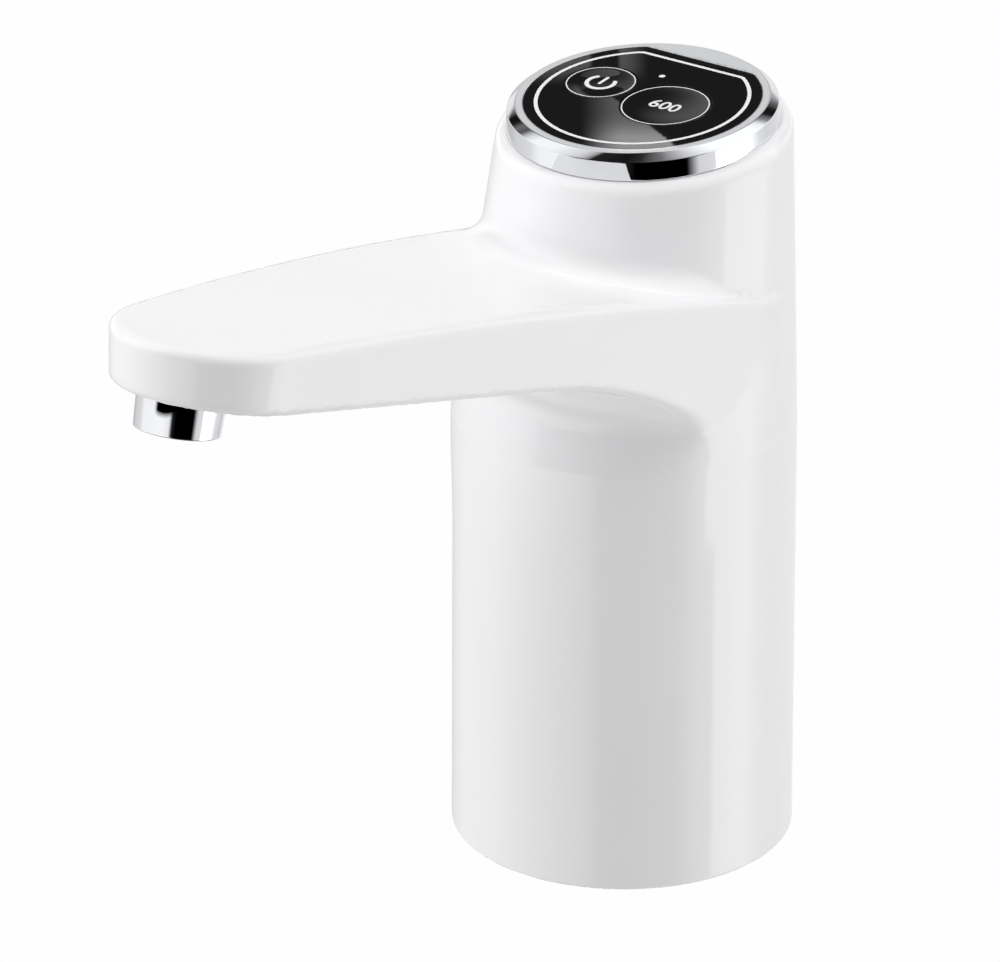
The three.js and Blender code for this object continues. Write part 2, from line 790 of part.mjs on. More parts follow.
function neckParts() {
  const beadLow = grooveHeight + gap;
  const beadTop = grooveHeight + grooveWidth - gap / 2;
  const hub = connectorRadius + tight;
  const body = spin([
    [hub, collarDepth], [neckRadius, collarDepth], [neckRadius, collarLift],
    [collarFlange, collarLift], [collarFlange, beadLow], [collarFlange + beadReach, (beadLow + beadTop) / 2],
    [collarFlange, beadTop], [collarFlange, flangeWidth], [collarOuter, flangeWidth],
    [collarOuter, collarDepth + overrun], [collarFlange, collarDepth + overrun],
    [collarFlange, roofTop], [hub, roofTop],
  ], midSegments);
  const way = disc(screwRadius + tight, collarDepth - overrun, roofTop + overrun, smallSegments);
  add('neck_collar', cut(body, ...atCollarScrews(way)), grey);
  add('neck_gasket', neckGasket(), clear);
  const seatTop = collarDepth - touch;
  const seat = pipe(neckRadius - tight, seatPadInner, seatTop - plate, seatTop, midSegments);
  add('seat_pad', seat, clear);
  const screw = join(
    disc(screwHead, seatTop - screwHeadTall, seatTop),
    disc(screwRadius, seatTop - sheet, collarDepth + screwLength, smallSegments),
  );
  for (const [i, body] of atCollarScrews(screw).entries()) {
    add(`collar_screw_${'abc'[i]}`, body, steel);
  }
  add('inlet_connector', inletConnector(), grey);
}

function neckGasket() {
  const inner = neckRadius - plate;
  const low = collarGrip - plate;
  const ribs = [0, 1, 2].flatMap(i => {
    const start = collarGrip + i * ribPitch;
    return [
      [inner, start], [inner - ribDeep, start + ribPitch / 6], [inner - ribDeep, start + ribPitch / 3],
      [inner, start + ribPitch / 2],
    ];
  });
  const top = collarGrip + ribPitch * 3 - plate / 2;
  const outer = neckRadius - tight;
  return spin([[outer, low], [inner, low], ...ribs, [inner, top], [outer, top]], midSegments);
}

function inletConnector() {
  const dipLow = collarDepth - dipLong;
  const sideways = body => turned(body, 0, Math.PI / 2).translate([0, 0, connectorSpout]);
  const hub = join(
    disc(connectorRadius, collarDepth - overrun, connectorTop),
    disc(connectorRadius + plate, roofTop + touch, roofTop + plate),
    spin([
      [0, dipLow], [dipRadius - dipBarb, dipLow], [dipRadius + dipBarb, dipLow + bossTall],
      [dipRadius, dipLow + bossTall], [dipRadius, collarDepth], [0, collarDepth],
    ]),
    sideways(disc(barbRadius, 0, connectorReach)),
  );
  const ways = join(
    disc(connectorBore, 0, connectorSpout + connectorBore / 2),
    sideways(disc(barbBore, 0, connectorReach + overrun, smallSegments)),
  );
  return cut(hub, ways);
}

// Inner frame
function chassis() {
  const base = disc(collarFlange - tight, deckLow, deckTop, midSegments);
  const tower = cut(
    disc(towerRadius, deckLow, canTop, midSegments),
    disc(canRadius + gap, canBottom - bossTall + gap, canTop + overrun, midSegments),
    disc(canRadius - plate, roofTop, canTop, midSegments),
  ).translate([0, pumpY, 0]);
  const bossTop = deckLow + bossTall + plate;
  const bosses = atCollarScrews(disc(screwHead + sheet, deckLow, bossTop));
  const pilots = atCollarScrews(disc(screwRadius + tight, 0, bossTop + overrun, smallSegments));
  const hub = connectorRadius + plate + gap;
  const notch = block(-hub, canRadius, -hub, hub, deckTop, canBottom);
  return cut(join(cut(join(base, tower), notch, disc(hub, 0, canTop)), ...bosses), ...pilots);
}

function batteryParts() {
  const at = body => body.translate([0, cellY, 0]);
  const cellTop = cellBottom + cellLength;
  const top = cellTop + plate;
  const shoulder = cellTop - cellShoulder;
  const holder = cut(
    disc(holderOuter, holderFloor, top, midSegments),
    disc(holderInner, holderFloor + plate, top + overrun, midSegments),
    disc(plate, holderFloor - overrun, top),
    block(-holderInner / 2, holderInner / 2, 0, holderOuter + overrun, socketHeight, top - cellRadius / 2),
  );
  add('battery_holder', at(holder), dark);
  const contactLow = cellBottom - touch - contactThick;
  add('battery_contact_low', at(disc(contactRadius, contactLow, cellBottom - touch)), steel);
  const cell = join(
    disc(cellRadius, cellBottom, shoulder, midSegments),
    disc(cellTip, shoulder - overrun, cellTop),
  );
  add('battery_cell', at(cell), blue);
  const contactTop = cellTop + touch + contactThick;
  add('battery_contact_high', at(disc(contactRadius, cellTop + touch, contactTop)), steel);
  const cap = join(
    disc(holderOuter, top + touch, top + plate, midSegments),
    disc(holderInner - tight, contactTop + touch, top + plate / 2, midSegments),
  );
  add('battery_cap', at(cap), dark);
}

// Pump, from the motor up
function ears(low, high) {
  return [-1, 1].map(side => disc(earRadius, low, high).translate([side * earReach, 0, 0]));
}

function earHoles() {
  const way = disc(screwRadius + tight, canTop, canTop * 2, smallSegments);
  return [-1, 1].map(side => way.translate([side * earReach, 0, 0]));
}

function lobes(radius, from, to) {
  return [0, 1, 2].map(i => {
    const a = Math.PI * (2 * i / 3 + 0.5);
    return disc(radius, from, to).translate([lobeReach * Math.cos(a), lobeReach * Math.sin(a), 0]);
  });
}

function motorParts(at) {
  const can = cut(
    disc(canRadius, canBottom, canTop, midSegments),
    disc(canRadius - canWall, canBottom - overrun, canTop - canWall, midSegments),
    disc(shaftRadius + tight, 0, canTop + overrun),
  );
  add('motor_can', at(can), steel);
  const tab = side => block(
    side * plate * 2.5 - plate / 2, side * plate * 2.5 + plate / 2, -plate, plate,
    canBottom - plate * 3, canBottom - plate,
  );
  const end = cut(
    join(
      disc(canRadius - tight, canBottom - deck, canBottom - tight, midSegments),
      disc(canRadius - canWall - tight, canBottom - plate, canBottom + plate, midSegments), tab(-1), tab(1),
    ),
    disc(shaftRadius + tight, canBottom - plate / 2, canTop),
  );
  add('motor_end_cap', at(end), dark);
}

// Crank on the motor's shaft and the plate that it wobbles
function driveParts(at) {
  const hubLow = canTop + gap * 2 + plate;
  const hubTop = hubLow + crankTall;
  const lean = Math.atan(crankOffset / (nodeHeight - hubTop));
  const leaned = body => turned(body, -lean).translate([0, 0, nodeHeight]);
  const pinLow = -(nodeHeight - hubTop) / Math.cos(lean) - shaftRadius;
  const rotor = join(
    disc(shaftRadius, canBottom + sheet, hubLow + shaftRadius),
    disc(armatureRadius, canBottom + plate * 2, canTop - plate * 2.5, midSegments),
    disc(crankRadius, hubLow, hubTop),
    leaned(disc(pinRadius, pinLow, pinLow + pinLength)),
  );
  add('rotor', at(rotor), steel);
  const top = -swashLow + swashThick;
  const swash = cut(
    join(
      disc(swashHub, pinLow + plate * 1.25, top), disc(lobeReach * 0.8, -swashLow, top),
      ...lobes(lobeRadius, -swashLow, top),
    ),
    disc(pinRadius + touch / 2, pinLow, pinLow + pinLength + gap, midSegments),
  );
  add('swash_plate', at(leaned(swash)), grey);
}

function pumpParts() {
  const at = body => body.translate([0, pumpY, 0]);
  motorParts(at);
  driveParts(at);
  const base = cut(
    join(disc(pumpRadius, canTop + gap, baseTop, midSegments), ...ears(baseTop - plate * 4, baseTop)),
    disc(pumpRadius - plate, canTop + gap + plate, baseTop + overrun, midSegments),
    disc(shaftRadius + gap, 0, baseTop), ...earHoles(),
  );
  add('pump_base', at(base), dark);
  const low = baseTop + tight;
  const skinTop = low + screwRadius;
  const diaphragm = cut(
    join(
      disc(pumpRadius - tight, low, skinTop, midSegments), ...ears(low, skinTop),
      ...lobes(lobeRadius, low, skinTop + plate),
    ),
    ...lobes(lobeRadius - sheet, low - overrun, skinTop + plate - sheet), ...earHoles(),
  );
  add('diaphragm', at(diaphragm), dark);
  const valveLow = skinTop + tight;
  const valveTop = valveLow + plate * 2.5;
  const valve = cut(
    join(disc(pumpRadius, valveLow, valveTop, midSegments), ...ears(valveLow, valveTop)),
    ...lobes(lobeRadius + gap, valveLow - overrun, valveLow + plate + gap),
    ...lobes(shaftRadius, valveLow, valveTop + overrun), ...earHoles(),
  );
  add('valve_plate', at(valve), grey);
  const capLow = valveTop + tight;
  const both = body => [portSpread, -portSpread].map(y => body.translate([0, y, 0]));
  const cap = cut(
    join(
      disc(pumpRadius, capLow, capTop, midSegments), ...ears(capLow, capTop),
      ...both(disc(barbRadius, capTop - plate, capTop + portRise)),
    ),
    disc(pumpRadius - deck, capLow - overrun, capLow + plate), ...earHoles(),
    ...both(disc(barbBore, capLow, capTop + portRise + overrun, smallSegments)),
  );
  add('pump_cap', at(cap), dark);
  const screw = join(
    disc(screwHead, capTop + touch, capTop + screwHeadTall),
    disc(screwRadius, baseTop - plate * 3, capTop + sheet, smallSegments),
  );
  add('pump_screw_a', at(screw.translate([-earReach, 0, 0])), steel);
  add('pump_screw_b', at(screw.translate([earReach, 0, 0])), steel);
}

// Hoses
function hose(points, steps) {
  const shape = new THREE.Shape();
  shape.absarc(0, 0, hoseRadius, 0, Math.PI * 2, false);
  hole(shape, 0, 0, hoseBore);
  const route = points.map(p => new THREE.Vector3(...p));
  const path = new THREE.CatmullRomCurve3(route, false, 'centripetal');
  const options = { steps, bevelEnabled: false, extrudePath: path, curveSegments: 4 };
  return solid(new THREE.ExtrudeGeometry(shape, options));
}

function hoseParts() {
  const outY = pumpY - portSpread;
  const inY = pumpY + portSpread;
  const start = capTop + tight;
  const straight = portRise + hoseRadius / 2;
  const climb = y => [0, 1 / 3, 2 / 3, 1].map(share => [0, y, start + straight * share]);
  const level = (y, lift = 0) => [0, y, (armUnder(y) + armFloor + armTop(y) - armWall) / 2 + lift];
  const elbow = y => nozzlePoint(y, elbowSpout).toArray();
  add('outlet_hose', hose([
    ...climb(outY), level(outY - hoseRadius, hoseRadius / 3), level(-bodyRadius),
    level(-coverStart), level(-(coverStart + coverEnd) / 2), level(-coverEnd + hoseRadius * 4),
    elbow(elbowReach + hoseRadius), elbow(elbowReach), elbow(elbowRadius + gap * 2),
  ], 20), clear);
  const over = capTop + hoseRadius * 4;
  add('inlet_hose', hose([
    ...climb(inY), [hoseSide / 3, inY / 2, over], [hoseSide * 0.75, 0, over - hoseRadius / 2],
    [hoseSide, hoseBack, capTop], [hoseSide, hoseBack, canTop],
    [hoseSide, hoseBack, canBottom + hoseRadius * 2],
    [hoseSide * 0.9, hoseBack * 0.6, connectorSpout + hoseRadius * 1.6],
    [connectorReach + hoseRadius, 0, connectorSpout + hoseRadius * 0.2],
    [connectorReach, 0, connectorSpout], [connectorRadius + gap * 2, 0, connectorSpout],
  ], 22), clear);
}

// Charging socket
function socketParts() {
  const outer = bodyR(socketHeight) - socketBack;
  const inner = outer - socketDeep;
  const [wide, tall] = [socketWide / 2, socketTall / 2];
  const [low, high] = [socketHeight - tall, socketHeight + tall];
  const shell = join(
    cut(
      block(-wide, wide, inner, outer, low, high),
      block(-wide + sheet, wide - sheet, inner + sheet, outer + overrun, low + sheet, high - sheet),
    ),
    block(-wide / 2, wide / 2, inner, outer - sheet, socketHeight - gap, socketHeight + gap),
  );
  add('usb_socket', shell, steel);
  const top = low - tight / 2;
  const back = outer - bodyWall - ledgeStep - gap - tight;
  const board = block(-chargeWide / 2, chargeWide / 2, inner - tight, back, top - chargeThick, top);
  add('charge_board', board, green);
}

add('main_housing', housing(), white);
add('spout_cover', atUnderside(coverShape(-gap), gap / 2, coverThick), white);
nozzleParts();
panelParts();
neckParts();
add('chassis_frame', chassis(), grey);
batteryParts();
pumpParts();
hoseParts();
socketParts();

// The bounding box's bottom centre becomes the origin
const backReach = Math.max(bodyRadius, lipY + lipRadius * Math.cos(tilt));
const centreShift = (tipReach + tipRadius - armDraft - backReach) / 2;
for (const part of group.children) {
  part.geometry.translate(0, centreShift, 0);
}

export default group;
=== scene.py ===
# %% [markdown]
# # A desktop water jug pump, dressed in Blender
# The real object is a moulded white column that stands on a water jug. A black touch panel
# in a chrome ring closes its top, and one long spout arm grows out of its side. The CAD
# model is loaded first and stays fixed. Every piece made here is in metres in its frame.

import json
import math

import bpy
import numpy as np
from mathutils import Matrix, Vector


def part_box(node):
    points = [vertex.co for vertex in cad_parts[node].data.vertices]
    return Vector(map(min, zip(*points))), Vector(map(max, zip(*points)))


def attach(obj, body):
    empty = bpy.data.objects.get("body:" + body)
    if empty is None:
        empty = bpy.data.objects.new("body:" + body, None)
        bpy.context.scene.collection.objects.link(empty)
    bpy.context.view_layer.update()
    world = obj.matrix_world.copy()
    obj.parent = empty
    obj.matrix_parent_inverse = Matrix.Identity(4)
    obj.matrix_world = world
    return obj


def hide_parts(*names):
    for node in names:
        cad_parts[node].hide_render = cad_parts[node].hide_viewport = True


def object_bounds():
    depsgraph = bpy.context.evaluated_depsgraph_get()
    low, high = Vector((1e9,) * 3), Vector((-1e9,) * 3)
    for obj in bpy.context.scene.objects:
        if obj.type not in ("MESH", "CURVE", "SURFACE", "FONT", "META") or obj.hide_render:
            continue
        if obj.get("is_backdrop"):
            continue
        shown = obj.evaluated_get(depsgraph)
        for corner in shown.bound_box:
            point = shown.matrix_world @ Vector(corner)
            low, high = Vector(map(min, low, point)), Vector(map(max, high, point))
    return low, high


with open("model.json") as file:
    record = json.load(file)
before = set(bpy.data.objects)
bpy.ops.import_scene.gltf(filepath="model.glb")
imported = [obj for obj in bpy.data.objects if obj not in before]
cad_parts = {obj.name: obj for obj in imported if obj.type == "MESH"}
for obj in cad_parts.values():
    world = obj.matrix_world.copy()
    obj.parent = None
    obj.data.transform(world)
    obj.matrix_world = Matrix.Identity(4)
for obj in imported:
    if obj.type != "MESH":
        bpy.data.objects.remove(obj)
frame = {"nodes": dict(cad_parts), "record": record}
cad_box = [list(corner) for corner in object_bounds()]
print("CAD nodes:", len(frame["nodes"]))

# %% [markdown]
# ## Where things are
# The column's axis isn't at the origin, because the origin is the centre of the footprint
# and the arm reaches far to one side. The gasket is round about the axis, so its box gives
# the axis. The panel leans towards the spout by the same small angle everywhere.

# %% Column axis and panel frame
gasket_low, gasket_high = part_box("neck_gasket")
AXIS_Y = (gasket_low.y + gasket_high.y) * 500
PANEL_SHIFT = 5.45
PANEL_HEIGHT = 164.9
TILT = math.atan(0.091)


def on_panel(points):
    """Points in millimetres in the panel's own frame, as metres in the model's frame."""
    x, y, z = np.moveaxis(np.asarray(points, float), -1, 0)
    deep = AXIS_Y + PANEL_SHIFT + y * math.cos(TILT) - z * math.sin(TILT)
    high = PANEL_HEIGHT + y * math.sin(TILT) + z * math.cos(TILT)
    return np.stack([x, deep, high], -1) * 0.001


print("axis at y =", round(AXIS_Y, 3), "mm, panel leans", round(math.degrees(TILT), 2), "degrees")

# %% [markdown]
# ## Camera
# The photograph was taken from a long way off with a long lens, from the side of the spout
# and 24 degrees above it. A long lens keeps the column's sides parallel. The distance is
# taken as a metre and a half, and the focal length then follows from the column's width.

# %% Camera at the photograph's angle
BEARING = math.radians(53.574)
CAMERA_DROP = math.radians(24.045)
CAMERA_AWAY = 1500.0
CAMERA_AIM = Vector((0, AXIS_Y, 85))
AIM_RIGHT = -26.517
AIM_UP = -5.423
LENS = 253.64
SENSOR = 36
right = Vector((math.sin(BEARING), math.cos(BEARING), 0))
away = Vector((-math.cos(BEARING), math.sin(BEARING), 0))
forward = away * math.cos(CAMERA_DROP) - Vector((0, 0, math.sin(CAMERA_DROP)))
upward = right.cross(forward)
camera_data = bpy.data.cameras.new("photo_camera")
camera_data.sensor_width = SENSOR
camera_data.lens = LENS
camera = bpy.data.objects.new("photo_camera", camera_data)
camera_spot = CAMERA_AIM + right * AIM_RIGHT + upward * AIM_UP - forward * CAMERA_AWAY
camera.matrix_world = Matrix((right, upward, -forward)).transposed().to_4x4()
camera.location = camera_spot * 0.001
bpy.context.scene.collection.objects.link(camera)
bpy.context.scene.camera = camera
print("camera at", [round(c, 4) for c in camera.location])

# %% [markdown]
# ## Small helpers
# Colours are picked as sRGB hex values, as in a paint program, and the shader wants linear
# light, so one function turns them. One more adds a node with its settings and its links.
# Meshes are built from numpy arrays, which is quick and keeps every size in millimetres.

# %% Colour, node and mesh helpers


def linear(code):
    """An sRGB hex colour as linear RGBA."""
    parts = [int(code[i:i + 2], 16) / 255 for i in (0, 2, 4)]
    return [c / 12.92 if c <= 0.04045 else ((c + 0.055) / 1.055) ** 2.4 for c in parts] + [1]


def node(tree, kind, inputs=None, **settings):
    """Adds one node, with its settings, its input values and its links."""
    made = tree.nodes.new(kind)
    for name, value in settings.items():
        setattr(made, name, value)
    for name, value in (inputs or {}).items():
        if isinstance(value, bpy.types.NodeSocket):
            tree.links.new(value, made.inputs[name])
        else:
            made.inputs[name].default_value = value
    return made


def mesh_piece(name, points, faces, material, smooth_angle=35):
    """A mesh object from points in metres, smooth up to an angle and sharp past it."""
    data = bpy.data.meshes.new(name)
    data.from_pydata([tuple(p) for p in points], [], [tuple(f) for f in faces])
    data.update()
    data.shade_smooth()
    data.set_sharp_from_angle(angle=math.radians(smooth_angle))
    data.materials.append(material)
    made = bpy.data.objects.new(name, data)
    bpy.context.scene.collection.objects.link(made)
    return made


def baked(item):
    """A plain mesh of an object as its modifiers leave it."""
    depsgraph = bpy.context.evaluated_depsgraph_get()
    return bpy.data.meshes.new_from_object(item.evaluated_get(depsgraph))


def carve(item, tools):
    """Cuts solids out of an object, leaves it a plain mesh, and removes the solids."""
    for tool in tools:
        cut = item.modifiers.new("cut", "BOOLEAN")
        cut.object, cut.operation, cut.solver = tool, "DIFFERENCE", "MANIFOLD"
    plain = baked(item)
    item.modifiers.clear()
    item.data = plain
    for tool in tools:
        bpy.data.objects.remove(tool)


def loop_mesh(loops, closed):
    """Points and faces of a skin through equal rings; it closes on itself or gets flat ends."""
    count = len(loops[0])
    points = np.concatenate(loops)
    faces = []
    for k in range(len(loops) if closed else len(loops) - 1):
        low, high = k * count, (k + 1) % len(loops) * count
        for i in range(count):
            beside = (i + 1) % count
            faces.append((low + i, low + beside, high + beside, high + i))
    if not closed:
        faces += [tuple(range(count))[::-1], tuple(range(len(points) - count, len(points)))]
    return points, faces


def skin_piece(name, place, loops, closed, material, smooth_angle=35):
    """A mesh object from rings of points in millimetres, put in place by a function."""
    points, faces = loop_mesh(loops, closed)
    return mesh_piece(name, place(points), faces, material, smooth_angle)


def circle(radius, height, count):
    """A ring of points in millimetres round the panel's or the nozzle's own axis."""
    turn = np.arange(count) * 2 * math.pi / count
    return np.stack([radius * np.cos(turn), radius * np.sin(turn), np.full(count, height)], -1)


def rings(profile, count):
    """Rings of points from pairs of radius and height."""
    return np.array([circle(radius, height, count) for radius, height in profile])


print("helpers ready")

# %% [markdown]
# ## White moulded ABS
# The column and arm are injection moulded ABS from a polished tool. To the eye it is a
# bright, slightly cool white with a soft gloss. A polished tool still leaves a faint
# orange-peel a few millimetres across, and fingers and wiping leave the gloss a little
# uneven, so the roughness varies slowly and the bump is very shallow.

# %% Material: white moulded ABS
SHEEN_MM = 18


def surface(name):
    """A new material with an empty Principled shader, and its node tree."""
    made = bpy.data.materials.new(name)
    made.use_nodes = True
    made.node_tree.nodes.clear()
    return made, made.node_tree


def finish(name, low, high, rough, drift, relief, **looks):
    """A material in two close tones, with roughness that drifts and a shallow relief.

    drift is a noise's size in millimetres, its detail, and the share that the roughness
    varies by. relief is a noise's size in millimetres, its detail, and its height.
    """
    made, tree = surface(name)
    noises = []
    for size_mm, detail, _ in (drift, relief):
        where = node(tree, "ShaderNodeTexCoord").outputs["Object"]
        sizes = {"Vector": where, "Scale": (1000 / size_mm,) * 3}
        place = node(tree, "ShaderNodeMapping", sizes).outputs[0]
        blobs = {"Vector": place, "Scale": 1.0, "Detail": detail}
        noises.append(node(tree, "ShaderNodeTexNoise", blobs).outputs["Fac"])
    slow, fine = noises
    tone = node(tree, "ShaderNodeMix", {"Factor": slow}, data_type="RGBA")
    tone.inputs["A"].default_value = linear(low)
    tone.inputs["B"].default_value = linear(high)
    gloss = node(tree, "ShaderNodeMapRange", {
        "Value": slow, "To Min": rough * (1 - drift[2]), "To Max": rough * (1 + drift[2]),
    })
    bump = node(tree, "ShaderNodeBump", {
        "Height": fine, "Strength": 1.0, "Distance": relief[2] * 0.001,
    })
    shader = node(tree, "ShaderNodeBsdfPrincipled", {
        "Base Color": tone.outputs["Result"], "Roughness": gloss.outputs["Result"],
        "Normal": bump.outputs["Normal"], **looks,
    })
    node(tree, "ShaderNodeOutputMaterial", {"Surface": shader.outputs[0]})
    return made


def plastic(name, low, high, rough, peel_mm, peel_height, ior=1.5):
    """Moulded plastic: the gloss drifts slowly and the surface has a fine relief."""
    relief = (peel_mm, 2.0, peel_height)
    return finish(name, low, high, rough, (SHEEN_MM, 3.0, 0.15), relief, IOR=ior)


white_abs = plastic("white_moulded_abs", "f4f4f6", "f7f7f8", 0.08, 4.0, 0.0004)
print("made", white_abs.name)

# %% [markdown]
# ## Black gloss acrylic
# The touch panel and its buttons are acrylic sheet, printed black on the back. It mirrors
# the room sharply, so its look is nearly all reflection. Its only texture is a trace of
# dust-fine roughness from wiping.

# %% Material: black gloss acrylic
black_acrylic = plastic("black_gloss_acrylic", "060607", "08080a", 0.012, 30.0, 0.0001)
print("made", black_acrylic.name)

# %% [markdown]
# ## Chrome plate
# The ring and the nozzle are plastic with a thin plated layer of chromium over nickel. It
# is a mirror with a slightly dark, neutral tint. The plating follows the moulding, so wide
# faces have a faint waviness that bends what they mirror.

# %% Material: chrome plate
HAZE_MM = 9


def plated(name, tint, rough, wave_mm, wave_height):
    """A plated or polished metal with a slow, shallow waviness and a little haze."""
    relief = (wave_mm, 1.0, wave_height)
    return finish(name, tint, tint, rough, (HAZE_MM, 4.0, 0.3), relief, Metallic=1.0)


chrome_plate = plated("chrome_plate", "e6e7ea", 0.015, 14.0, 0.001)
zinc_steel = plated("zinc_plated_steel", "b4b7bd", 0.28, 2.0, 0.004)
print("made", chrome_plate.name, zinc_steel.name)

# %% [markdown]
# ## Plain inner plastics, silicone and print
# Inside are satin black and grey ABS parts from an etched tool, and cloudy food-grade
# silicone. The etched tool leaves a fine grain of about a third of a millimetre. The
# panel's marks are white screen ink, which is matt and just off white.

# %% Materials: inner plastics, silicone, ink, board and cell
dark_abs = plastic("satin_black_abs", "1b1c1f", "232428", 0.5, 0.35, 0.01)
grey_abs = plastic("satin_grey_abs", "8d8f93", "9a9ca0", 0.48, 0.35, 0.01)
silicone = plastic("cloudy_silicone", "cfd4d6", "dadee0", 0.42, 1.2, 0.004, ior=1.41)
black_rubber = plastic("black_nitrile_rubber", "151516", "1c1c1e", 0.62, 0.6, 0.008)
clear_plastic = plastic("frosted_clear_plastic", "dfe4e6", "eaeef0", 0.2, 3.0, 0.001)
screen_ink = plastic("white_screen_ink", "e9eaec", "f2f3f4", 0.42, 0.5, 0.002)
board_mask = plastic("green_solder_mask", "14512c", "1c6136", 0.35, 1.0, 0.004)
cell_sleeve = plastic("blue_shrink_sleeve", "2457a0", "2f68b4", 0.3, 6.0, 0.004)
lamp_lens = plastic("frosted_lamp_lens", "f6f6f2", "ffffff", 0.3, 1.0, 0.002)
finishes = {
    "white_gloss": white_abs, "chrome": chrome_plate, "black_gloss": black_acrylic,
    "dark_plastic": dark_abs, "grey_plastic": grey_abs, "clear_plastic": clear_plastic,
    "silicone": silicone, "black_rubber": black_rubber, "steel": zinc_steel,
    "circuit_board": board_mask, "cell_wrap": cell_sleeve, "lamp": lamp_lens,
}
for row in frame["record"]["subparts"]:
    carried = frame["nodes"][row["node"]]
    carried.data.materials.clear()
    carried.data.materials.append(finishes[row["material_slot"]])
print("finishes:", len(finishes))

# %% [markdown]
# ## The shell as one field
# The column, the arm, the small fillet above it and the wide sweep below it are one moulded
# skin with no seam. Separate meshes would show a line where they meet. A signed distance
# field blends them instead: a formula gives each point's distance from the skin, negative
# inside, and the mesh is laid where it is zero. The same formula gives exact normals.

# %% Sizes of the shell, in millimetres
COLUMN_RADIUS = 37.0
SHOULDER_RADIUS = 36.55
SHOULDER_HEIGHT = 96.0
LIP_RADIUS = 31.35
LIP_ROUND = 2.4
RING_HEIGHT = 5.6
SEAT_Y = PANEL_SHIFT + RING_HEIGHT * math.sin(TILT)
SEAT_Z = PANEL_HEIGHT - RING_HEIGHT * math.cos(TILT)
LIP_Y = SEAT_Y + LIP_ROUND * math.sin(TILT)
LIP_Z = SEAT_Z - LIP_ROUND * math.cos(TILT)
TIP_RADIUS = 21.6
TIP_REACH = 138.5
TIP_LEAN = 2.3
ARM_DRAFT = 1.2
ARM_TOP_HEIGHT = 130.1
ARM_ROOT_HEIGHT = 112.6
ROOT_DIVE = 2.6
ROOT_WRAP = 0.35
EDGE_ROUND = 2.2
SWEEP_EDGE_ROUND = 1.7
TOP_FILLET = 5.0
SWEEP_REACH = 40.0
SWEEP_DROP = 15.5
WALL = 2.4
BASE_ROUND = 0.8
SEAT_BORE = 25.9
CRISP = 0.05
SOFT = 3.0
TAIL_SHARE = 0.6
ARM_SLOPE = 0.285
ARM_BEND = 2380
UNDER_SLOPE = 0.254


def arm_top(y):
    """Height of the arm's upper face."""
    return ARM_TOP_HEIGHT - ARM_SLOPE * y - y * y / ARM_BEND


def arm_under(y):
    """Height of the arm's lower face."""
    return ARM_ROOT_HEIGHT - UNDER_SLOPE * y


tip_from_axis = TIP_REACH + TIP_RADIUS - ARM_DRAFT
print("seat at", round(SEAT_Z, 2), "mm, arm tip at", tip_from_axis, "mm from the axis")

# %% Distance from the column, the arm, and both together


def column_distance(x, y, z):
    """Distance from the leaning column's wall."""
    rise = LIP_Z - SHOULDER_HEIGHT
    share = np.maximum((z - SHOULDER_HEIGHT) / rise, 0)
    for _ in range(3):
        lean = TILT * share
        past = z - SHOULDER_HEIGHT - rise * share
        off = past * np.cos(lean) - (y - LIP_Y * share) * np.sin(lean)
        share = np.maximum(share + off / (rise * np.cos(lean) - LIP_Y * np.sin(lean)), 0)
    lean = TILT * share
    above = (z - SHOULDER_HEIGHT - rise * share) * (share > 0)
    along = (y - LIP_Y * share) * np.cos(lean) + above * np.sin(lean)
    straight = COLUMN_RADIUS + (SHOULDER_RADIUS - COLUMN_RADIUS) * np.minimum(z / SHOULDER_HEIGHT, 1)
    return np.hypot(x, along) - straight + (SHOULDER_RADIUS - LIP_RADIUS) * share


def side_distance(x, y, z):
    """Distance from the arm's side wall, seen from above: a wide circle joined to a small one."""
    share = np.clip((z - arm_under(y)) / (arm_top(y) - arm_under(y)), 0, 1)
    tip = TIP_RADIUS - ARM_DRAFT * (1 - share)
    root_share = (ARM_ROOT_HEIGHT - SHOULDER_HEIGHT) / (LIP_Z - SHOULDER_HEIGHT)
    root = SHOULDER_RADIUS + (LIP_RADIUS - SHOULDER_RADIUS) * root_share
    root_y = LIP_Y * root_share
    length = TIP_REACH - TIP_LEAN * share + root_y
    across, along = np.abs(x), root_y - y
    slope = (root - tip) / length
    level = np.sqrt(1 - slope * slope)
    place = along * level - across * slope
    lean = np.arcsin(slope)
    turn = np.arctan2(-along, across)
    dive = np.clip((turn + lean) / (ROOT_WRAP + lean), 0, 3)
    at_root = np.hypot(across, along) - root + ROOT_DIVE * dive * dive
    at_tip = np.hypot(across, along - length) - tip
    between = across * level + along * slope - root
    return np.where(place < 0, at_root, np.where(place > length * level, at_tip, between))


def rounded(one, other, radius):
    """The part inside both fields, with its edge rounded to a radius."""
    a, b = one + radius, other + radius
    return np.minimum(np.maximum(a, b), 0) + np.hypot(np.maximum(a, 0), np.maximum(b, 0)) - radius


def hollowed(one, other, reach, drop):
    """The part inside either field, with its inner corner filled by a quarter ellipse."""
    a = np.clip(1 - one / reach, 0, None)
    b = np.clip(1 - other / drop, 0, None)
    inner = (a > 0) & (b > 0) & (one > -reach) & (other > -drop)
    filled = (1 - np.hypot(a, b)) * np.minimum(reach, drop)
    return np.where(inner, np.minimum(filled, np.minimum(one, other)), np.minimum(one, other))


def smooth(value, low, high):
    """Rises gently from 0 to 1 between two values."""
    share = np.clip((value - low) / (high - low), 0, 1)
    return share * share * (3 - 2 * share)


def merged(one, other, soft):
    """The part inside either field, with the line where they meet softened."""
    share = np.clip(0.5 + 0.5 * (other - one) / soft, 0, 1)
    return other + (one - other) * share - soft * share * (1 - share)


def above_seat(y, z):
    """Height above the leaning plane that the ring sits on."""
    return -(y - SEAT_Y) * math.sin(TILT) + (z - SEAT_Z) * math.cos(TILT)


